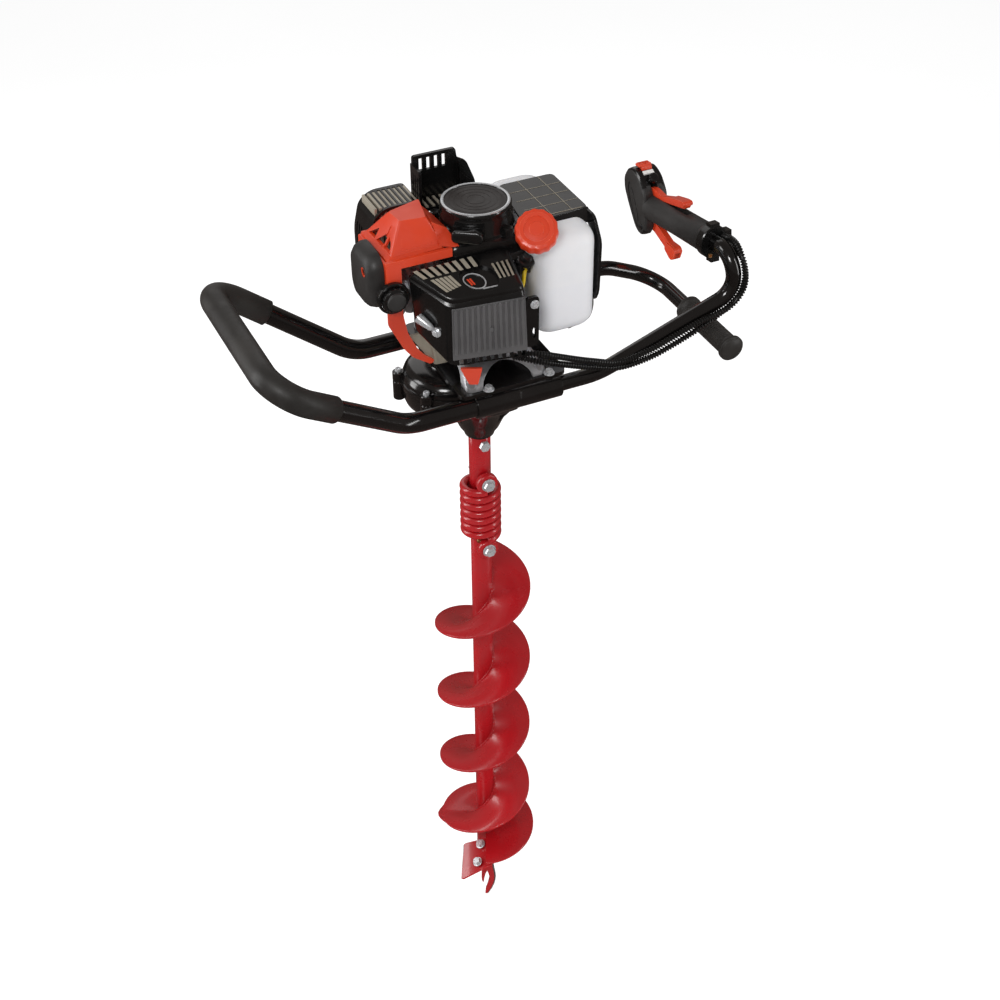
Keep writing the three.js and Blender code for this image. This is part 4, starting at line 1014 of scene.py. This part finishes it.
HOOD_FRONT = Face((-136, -37.5, 1385), (-66, -33, 1385), (-79, -25, 1417), (-119, -20.5, 1417))
HOOD_LEFT = Face((-140.5, 40, 1385), (-138, -34, 1385), (-120.5, -18, 1417), (-123, 16, 1417))
frame_x = rounded([(-48, 1320), (50, 1320), (50, 1380), (-48, 1380)], 6, 4)
strut = [(-150, 1380), (-150, 1288), (-130, 1247), (-118, 1231), (-92, 1213), (-86, 1218), (-101, 1230),
         (-111, 1243), (-124, 1272), (-129, 1300), (-129, 1380)]
windows = [[(-32, 1386), (-12, 1386), (-12, 1402)], [(-8, 1404), (-8, 1386), (12, 1386)],
           [(16, 1386), (36, 1386), (16, 1400)]]
flange_front = Face((-68, -36, 1383), (-44, -46, 1380), (-53, -22, 1400), (-73, -20, 1412))
flange_right = Face((-73, -22, 1411), (-53, -24, 1399), (-56, 22, 1400), (-70, 28, 1414))
hood_parts = [side_prism(frame_x, -150, -147), box(-150, -56, -48.2, -43, 1371, 1383)]
hood_parts.append(front_prism(rounded(strut, 4, 3), -48.6, -43.8))
hood_parts += [flange.patch(0, 1, 0, 1, -5, 1) for flange in (flange_front, flange_right)]
hood_cuts = [hood_shell(3), moved(disc(20, -170, -120, 0.3, 48), at(0, 0, 1312) @ ALONG_X),
             moved(disc(5, -70, -30, 0.2, 24), at(-143, 0, 1332) @ ALONG_Y)]
hood_cuts += [HOOD_FRONT.patch(0.16, 0.84, 0.1, 0.84, -0.4, 6),
              HOOD_LEFT.patch(0.62, 0.94, 0.12, 0.86, -1.3, 6)]
hood_cuts += [side_prism(w, -165, -129) for w in windows]
piece("cylinder_hood", [hood_shell(0)], ORANGE, fuse=hood_parts, cuts=hood_cuts, bevel=1.0, segments=3)
wing = rounded([(-120, 1262), (-42, 1262), (-42, 1204), (-84, 1206)], 3, 3)
wing_ribs = [front_prism([(-84 + 12 * i, 1210), (-80 + 12 * i, 1210), (-88 + 12 * i, 1256),
                          (-92 + 12 * i, 1256)], -45, -43) for i in range(3)]
piece("base_wing", [front_prism(wing, -43.2, -39)] + wing_ribs, TAN, bevel=0.8)
side_outline = [(-42, 1322), (-26, 1306), (24, 1306), (34, 1324), (34, 1372), (20, 1388), (-28, 1388),
                (-42, 1374)]
cover_rings = []
for x, k, r in ((-150.4, 1.0, 10), (-158, 1.0, 10), (-166, 0.93, 12), (-171, 0.8, 12), (-172, 0.66, 12)):
    level = rounded(shrunk(side_outline, k, (-4, 1347)), r, 3)
    cover_rings.append([(x, y, z) for y, z in level])
piece("side_cover", [loft(cover_rings)], MATT,
      cuts=[moved(disc(7, -180, -160, 0.3, 32), at(0, -20, 1362) @ ALONG_X)], bevel=1.0)
# Painted highlight: the orange ring in the side cover's hole stands for a pinkish highlight there.
piece("side_cover_eye", [moved(ring([(5.2, -171.5), (6.8, -171.5), (6.8, -170), (5.2, -170)], 32),
                               at(0, -20, 1362) @ ALONG_X)], ORANGE)
knob = lathe([(0, -66.5), (10.5, -66.5), (12.5, -65.2), (13.2, -62.5), (16.4, -61.5), (17.5, -60),
              (17.5, -52), (16.5, -50.5), (6, -50.5), (4.6, -49), (4.6, -38), (0, -38)], 48)
grips = [moved(box(16.6, 18.4, -1.2, 1.2, -60, -52), turn("Z", TAU * i / 16)) for i in range(16)]
piece("cover_knob", group([knob] + grips, at(-143, 0, 1332) @ ALONG_Y), [GLOSSY, MATT], "knob",
      bevel=0.4, paint=lambda c: 1 if c.y < -62.6 else 0)
knob_collar = ring([(18.8, -55), (21.5, -55), (22.6, -53.5), (22.6, -47), (18.8, -47)], 56)
piece("knob_collar", [moved(knob_collar, at(-143, 0, 1332) @ ALONG_Y)], GLOSSY, bevel=0.5)


# ---------- fin cover and tall guard ----------
def fin_outline(i):
    return rounded([(-130 + i, 1300), (-52 - i, 1300), (-52 - i, 1400 - i), (-104 + i / 2, 1400 - i),
                    (-122 + i, 1388 - i / 2), (-130 + i, 1352)], 10, 5)


fin_cuts = [front_prism(fin_outline(4), 40, 116)]
fin_cuts += [box(-119 + i * 7.4, -114.6 + i * 7.4, 66, 114, 1376, 1412) for i in range(9)]
fin_cuts += [box(-142, -120, 68 + i * 8, 72 + i * 8, 1312, 1362) for i in range(6)]
piece("fin_cover", [front_prism(fin_outline(0), 62, 120)], GLOSSY, cuts=fin_cuts, bevel=1.0)
fins = [box(-118.7 + i * 7.4, -114.9 + i * 7.4, 66.6, 113.4, 1330, 1399) for i in range(9)]
fins += [box(-124.5, -122.5, 69 + i * 8, 71.5 + i * 8, 1310, 1366) for i in range(6)]
fins += [box(-46 + i * 9.4, -42.6 + i * 9.4, 59, 85, 1386, 1390) for i in range(9)]
piece("cooling_fins", fins, TAN, bevel=0.4)
guard = rounded([(-53, 1376), (42, 1376), (38, 1400), (26, 1430), (12, 1438), (10, 1453), (-53, 1453)],
                4, 4)
deck_slots = [box(-44 + i * 9, -40 + i * 9, 62, 84, 1380, 1396) for i in range(9)]
guard_parts = [box(-55, -51, 62, 91, 1376, 1442), box(-60, 44, 58, 91, 1383, 1388)]
guard_parts.append(front_prism([(14, 1384), (40, 1384), (12, 1432)], 78, 90))
guard_cuts = [box(-44 + i * 11.3, -38 + i * 11.3, 80, 100, 1430, 1448) for i in range(4)] + deck_slots
guard_cuts += [box(-60, -45, 66 + i * 7, 69 + i * 7, 1396, 1432) for i in range(3)]
piece("tall_guard", [front_prism(guard, 86.5, 91.5)], GLOSSY, fuse=guard_parts, cuts=guard_cuts, bevel=0.9)


# ---------- fan housing and starter ----------
fan_outline = rounded([(-60, -50), (50, -50), (50, 56), (-60, 56)], 18, 6)
fan_rings = [[(x * k, y * k, z) for x, y in fan_outline] for z, k in
             ((1346.3, 0.95), (1348, 0.985), (1351, 1.0), (1374, 1.0), (1379, 0.98), (1382, 0.93))]
lugs = [moved(box(44, 62, -9, 9, 1352, 1366), turn("Z", a)) for a in (-0.9, 0.7)]
posts = [moved(disc(6, 1350, 1384, 1, 24), at(x, y, 0)) for x, y in ((-40, -40), (36, -42), (38, 44))]
piece("fan_housing", [loft(fan_rings)], GLOSSY, fuse=lugs + posts,
      cuts=[disc(46, 1349, 1388, 0.3, 80), disc(16, 1340, 1352, 0.3, 48)], bevel=1.0)
STARTER = turn("Z", -0.6)
outer_can = [(0, 1382.3), (50, 1382.3), (52, 1383.5), (52, 1388), (50.5, 1390), (49, 1406),
             (47.5, 1409), (47.5, 1413), (48.4, 1414), (48.4, 1416.6), (47, 1418.6), (44, 1419.4),
             (42.6, 1419.4), (42.2, 1418.4), (0, 1418.4)]
mouth = moved(box(-20, 20, -58, -40, 1388, 1408), STARTER)
posts = [moved(disc(7, 1383, 1396, 1, 32), at(x, y, 0)) for x, y in ((24, -50), (30, 46), (-44, 34))]
rope_hole = moved(disc(3.4, -90, 0, 0.2, 32), STARTER @ at(0, 0, 1398) @ ALONG_Y)
piece("starter_housing", [moved(lathe(outer_can, 96), STARTER)], GLOSSY, fuse=[mouth] + posts,
      cuts=[disc(42, 1380, 1407, 0.3, 80), rope_hole], bevel=0.7)
trim = [(42.8, 1418.6), (46.6, 1418.6), (46.6, 1419.6), (45.4, 1420.2), (44, 1420.2), (42.8, 1419.6)]
piece("starter_trim", [ring(trim, 96)], ZINC)
disc_face = [ring([(r, 1418.2), (r + 1.1, 1418.2), (r + 1.1, 1419.0), (r, 1419.0)], 80)
             for r in (12, 20, 28, 36)]
piece("starter_disc", [disc(42, 1417.4, 1418.8, 0.3, 96)] + disc_face, BROWN)
handle = rounded([(-21, -71), (21, -71), (21, -62), (14, -57), (-14, -57), (-21, -62)], 5, 5)
handle_rings = [[(x * k, -64 + (y + 64) * k, z) for x, y in handle] for z, k in
                ((1390, 0.8), (1391.5, 0.93), (1395, 1.0), (1401, 1.0), (1404.5, 0.93), (1406, 0.8))]
stem = moved(disc(5, -58, -53.5, 0.5, 32), STARTER @ at(0, 0, 1398) @ ALONG_Y)
piece("starter_grip", [moved(loft(handle_rings), STARTER), stem], GLOSSY, "starter_pull", angle=50)
rope_path = [(0, -57 + 52 * i / 60, 1398) for i in range(61)]
rope = piece("starter_rope", [moved(sweep(rope_path, lambda i: 1.6 + 0.12 * math.sin(i * 2.6), 12, 0.3),
                                    STARTER)], ROPE, "starter_pull", angle=80, ride=False)
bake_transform(rope)


# ---------- fuel tank, cap and guard ----------
tank_outline = rounded([(52, -88), (143, -88), (143, 108), (52, 108)], 28, 8)


def tank_ring(z, inset):
    """The tank's outline at one height, drawn in by inset towards the tank's middle."""
    cx, cy = 97.5, 10
    kx, ky = 1 - inset / 45.5, 1 - inset / 98
    return [(cx + (x - cx) * kx, cy + (y - cy) * ky, z) for x, y in tank_outline]


quarter = [math.pi / 2 * i / 8 for i in range(9)]
tank_rings = [tank_ring(1232 + 22 * (1 - math.cos(a)), 18 * (1 - math.sin(a))) for a in quarter]
tank_rings += [tank_ring(z, 0) for z in (1306, 1314)]
tank_rings += [tank_ring(1386 - 24 * (1 - math.sin(a)), 20 * (1 - math.cos(a))) for a in quarter]
CAP = at(55, -72, 1387) @ turn("X", 0.68) @ turn("Y", -0.3)
piece("fuel_tank", [loft(tank_rings)], TANK, fuse=[moved(disc(21, -30, 7.2, 1.5, 56), CAP)], angle=50)


def lobed(profile, lobes, depth, sides=144):
    """A turned solid whose outer radius waves in and out round the rim."""
    rings = []
    for r, z in profile:
        wave = depth if r > 20 else 0
        radii = [r + wave * math.cos(lobes * TAU * k / sides) for k in range(sides)]
        rings.append([(q * math.cos(TAU * k / sides), q * math.sin(TAU * k / sides), z)
                      for k, q in enumerate(radii)])
    return loft(rings)



cap_body = [lobed([(26.6, 8), (28.6, 9), (28.8, 12), (28.2, 24), (27.2, 26.4), (24.6, 27.4)], 14, 0.55),
            ring([(17, 27), (23, 27), (22.4, 28.4), (17.6, 28.4)], 96), disc(10, 26.5, 28.2, 0.8, 48)]
piece("fuel_cap", group(cap_body, CAP), ORANGE, "fuel_cap", bevel=0.5)

guard_top = rounded([(50, -46), (90, -44), (149, -38), (149, 70), (66, 70)], 8, 4)
lattice = [box(x, x + 1.0, -38, 69, 1391.4, 1392.5) for x in (94, 125)]
lattice += [box(67, 147, y, y + 0.9, 1391.4, 1392.3) for y in (-12, 14, 40)]
lattice.append(box(66, 141, -37, -35.8, 1391.4, 1392.6))
side_outline = rounded([(-82, 1359), (-61, 1390), (68, 1390), (68, 1262), (-70, 1262), (-79, 1281)], 8, 4)
guard_rings = [[(x, y, z) for x, y in shrunk(guard_top, k, (107.5, 16))] for z, k in
               ((1388, 0.99), (1389, 1.0), (1391, 1.0), (1391.8, 0.99))]
lip = loft([[(84, -38, 1388), (149, -38, 1388), (149, -38, 1391.6), (84, -38, 1391.6)],
            [(88, -45, 1385), (149, -46, 1384), (149, -46, 1387.6), (88, -45, 1388.6)],
            [(96, -50, 1380), (149, -54, 1376), (149, -54, 1380), (96, -50, 1384)]])
piece("tank_guard", [side_prism(side_outline, 145, 149)], GLOSSY,
      cuts=[side_prism(rounded(shrunk(side_outline, 0.74, (-4, 1324)), 4, 3), 140, 155)], bevel=0.9)
piece("tank_guard_top", [loft(guard_rings), lip, box(62, 146, -20, 60, 1226, 1230),
                         box(145.2, 148.8, -20, 60, 1226, 1264)], GLOSSY, bevel=0.6)
piece("guard_ribs", lattice, TAN, slot="black_plastic", bevel=0.3)
strap_path = smooth_path([(147, -60, 1266), (146.5, -62, 1248), (137, -65, 1233), (106, -70, 1229.6)], 24)
piece("tank_strap", [box(64, 143.5, -14, -4, 1229.8, 1232.4), box(64, 143.5, 40, 50, 1229.8, 1232.4),
                     sweep(strap_path, 2.3, 12, 0.5)], RUBBER, bevel=0.4)
line_path = smooth_path([(54, -50, 1336), (44, -60, 1330), (38, -66, 1314), (36, -58, 1296),
                         (30, -40, 1290)], 60)
piece("fuel_line", [sweep(line_path, 2.8, 20, 0.5)], YELLOW, angle=60)
piece("primer_cover", group([disc(15, -6, 4, 2, 40), disc(9, 3, 8, 3, 32)],
                            at(44, -62, 1352) @ turn("X", 0.9)) +
      [moved(box(-12, 12, -5, 5, -22, 0), at(44, -56, 1348))], GLOSSY, bevel=0.8)
piece("throttle_bracket", [moved(box(-3, 3, -22, 0, -30, 0), at(36, -50, 1346) @ turn("Z", -0.3)),
                           moved(disc(8, 0, 14, 1.5, 32), at(30, -58, 1352) @ ALONG_X)], GLOSSY,
      bevel=0.8)
arm = rounded([(-14, -6), (30, -9), (38, 0), (30, 9), (-14, 6)], 5, 4)
piece("lever_arm", [prism(arm, 0, 12)], GLOSSY, place=at(12, -58, 1352) @ turn("Z", 0.12), bevel=2.0,
      segments=3)


# ---------- carried-over solids ----------
FINISH = {"output_gear": STEEL, "output_shaft": STEEL, "layshaft": STEEL, "clutch_drum": STEEL,
          "output_bearing": STEEL, "output_seal": RUBBER, "crankcase": ALLOY, "crank_half_lower": STEEL,
          "crank_half_upper": STEEL, "connecting_rod": STEEL, "piston": ALLOY, "cylinder": ALLOY,
          "spark_plug": CERAMIC, "flywheel": ALLOY, "ignition_coil": CONDUIT, "starter_reel": MATT,
          "muffler": STEEL, "carburettor": ALLOY, "air_cleaner": GLOSSY}
for node, material in FINISH.items():
    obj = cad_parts[node]
    obj.data.materials.clear()
    obj.data.materials.append(material)
    step = obj.modifiers.new("edge", "BEVEL")
    step.width = 0.5 * MM
    step.segments = 2
    step.limit_method = "ANGLE"
    step.angle_limit = math.radians(40)


# ---------- floor, light and camera ----------
floor = make_object("floor", [box(-9000, 9000, -9000, 9000, -40, -1)])
g = Graph("pale_floor")
g.put("Base Color", g.mix(g.ranged(g.noise(0.8), 0.3, 0.7), linear(246, 246, 246), linear(243, 243, 243)))
g.put("Roughness", 0.9)
g.put("Specular IOR Level", 0.0)
rays = g.node("ShaderNodeLightPath")
glow = g.node("ShaderNodeEmission")
glow.inputs["Strength"].default_value = 0.46
lit = g.node("ShaderNodeAddShader")
g.link(g.shader.outputs["BSDF"], lit.inputs[0])
g.link(glow.outputs["Emission"], lit.inputs[1])
dim = g.node("ShaderNodeEmission")
dim.inputs["Color"].default_value = (0.10, 0.075, 0.065, 1)
choose = g.node("ShaderNodeMixShader")
g.link(rays.outputs["Is Glossy Ray"], choose.inputs["Fac"])
g.link(lit.outputs["Shader"], choose.inputs[1])
g.link(dim.outputs["Emission"], choose.inputs[2])
g.link(choose.outputs["Shader"], g.tree.nodes["Material Output"].inputs["Surface"])
floor.data.materials.append(g.material)


def softbox(name, place, aim, size, power):
    light = bpy.data.lights.new(name, "AREA")
    light.shape = "RECTANGLE"
    light.size, light.size_y = size
    light.energy = power
    obj = bpy.data.objects.new(name, light)
    obj.location = place
    obj.rotation_euler = (Vector(aim) - Vector(place)).to_track_quat("-Z", "Y").to_euler()
    bpy.context.scene.collection.objects.link(obj)


softbox("key", (-1.7, -2.0, 3.4), (0, 0, 1.1), (0.9, 0.9), 40)
softbox("strip_left", (-2.5, 1.2, 2.0), (0, 0, 1.2), (0.9, 3.0), 44)
softbox("strip_right", (1.9, -1.7, 1.7), (0, 0, 0.9), (0.3, 2.4), 17)
softbox("back", (0.5, 2.4, 2.4), (0, 0, 1.0), (2.0, 2.2), 9)

# The studio is white for the camera and for soft light, and dim and warm in reflections.
world = bpy.data.worlds.new("studio")
world.use_nodes = True
tree = world.node_tree
soft = tree.nodes["Background"]
soft.inputs["Color"].default_value = (1, 1, 1, 1)
soft.inputs["Strength"].default_value = 0.5
rays = tree.nodes.new("ShaderNodeLightPath")
warm = tree.nodes.new("ShaderNodeBackground")
warm.inputs["Color"].default_value = (1.0, 0.86, 0.78, 1)
warm.inputs["Strength"].default_value = 0.16
choose = tree.nodes.new("ShaderNodeMixShader")
tree.links.new(rays.outputs["Is Glossy Ray"], choose.inputs["Fac"])
tree.links.new(soft.outputs["Background"], choose.inputs[1])
tree.links.new(warm.outputs["Background"], choose.inputs[2])
paper = tree.nodes.new("ShaderNodeBackground")
paper.inputs["Color"].default_value = (0.96, 0.96, 0.96, 1)
seen = tree.nodes.new("ShaderNodeMixShader")
tree.links.new(rays.outputs["Is Camera Ray"], seen.inputs["Fac"])
tree.links.new(choose.outputs["Shader"], seen.inputs[1])
tree.links.new(paper.outputs["Background"], seen.inputs[2])
tree.links.new(seen.outputs["Shader"], tree.nodes["World Output"].inputs["Surface"])
bpy.context.scene.world = world
bpy.context.scene.view_settings.view_transform = "Standard"

camera = bpy.data.cameras.new("camera")
camera.lens = 61.79
camera.sensor_width = 36
camera.clip_end = 30
view = bpy.data.objects.new("camera", camera)
back = -Vector((0.3332, 0.7144, -0.6152)).normalized()
right = Vector((0, 0, 1)).cross(back).normalized()
up = back.cross(right)
basis = Matrix((right, up, back)).transposed().to_4x4()
view.matrix_world = Matrix.Translation((-0.836, -1.862, 2.505)) @ basis @ turn("Z", math.radians(-0.45))
bpy.context.scene.collection.objects.link(view)
bpy.context.scene.camera = view
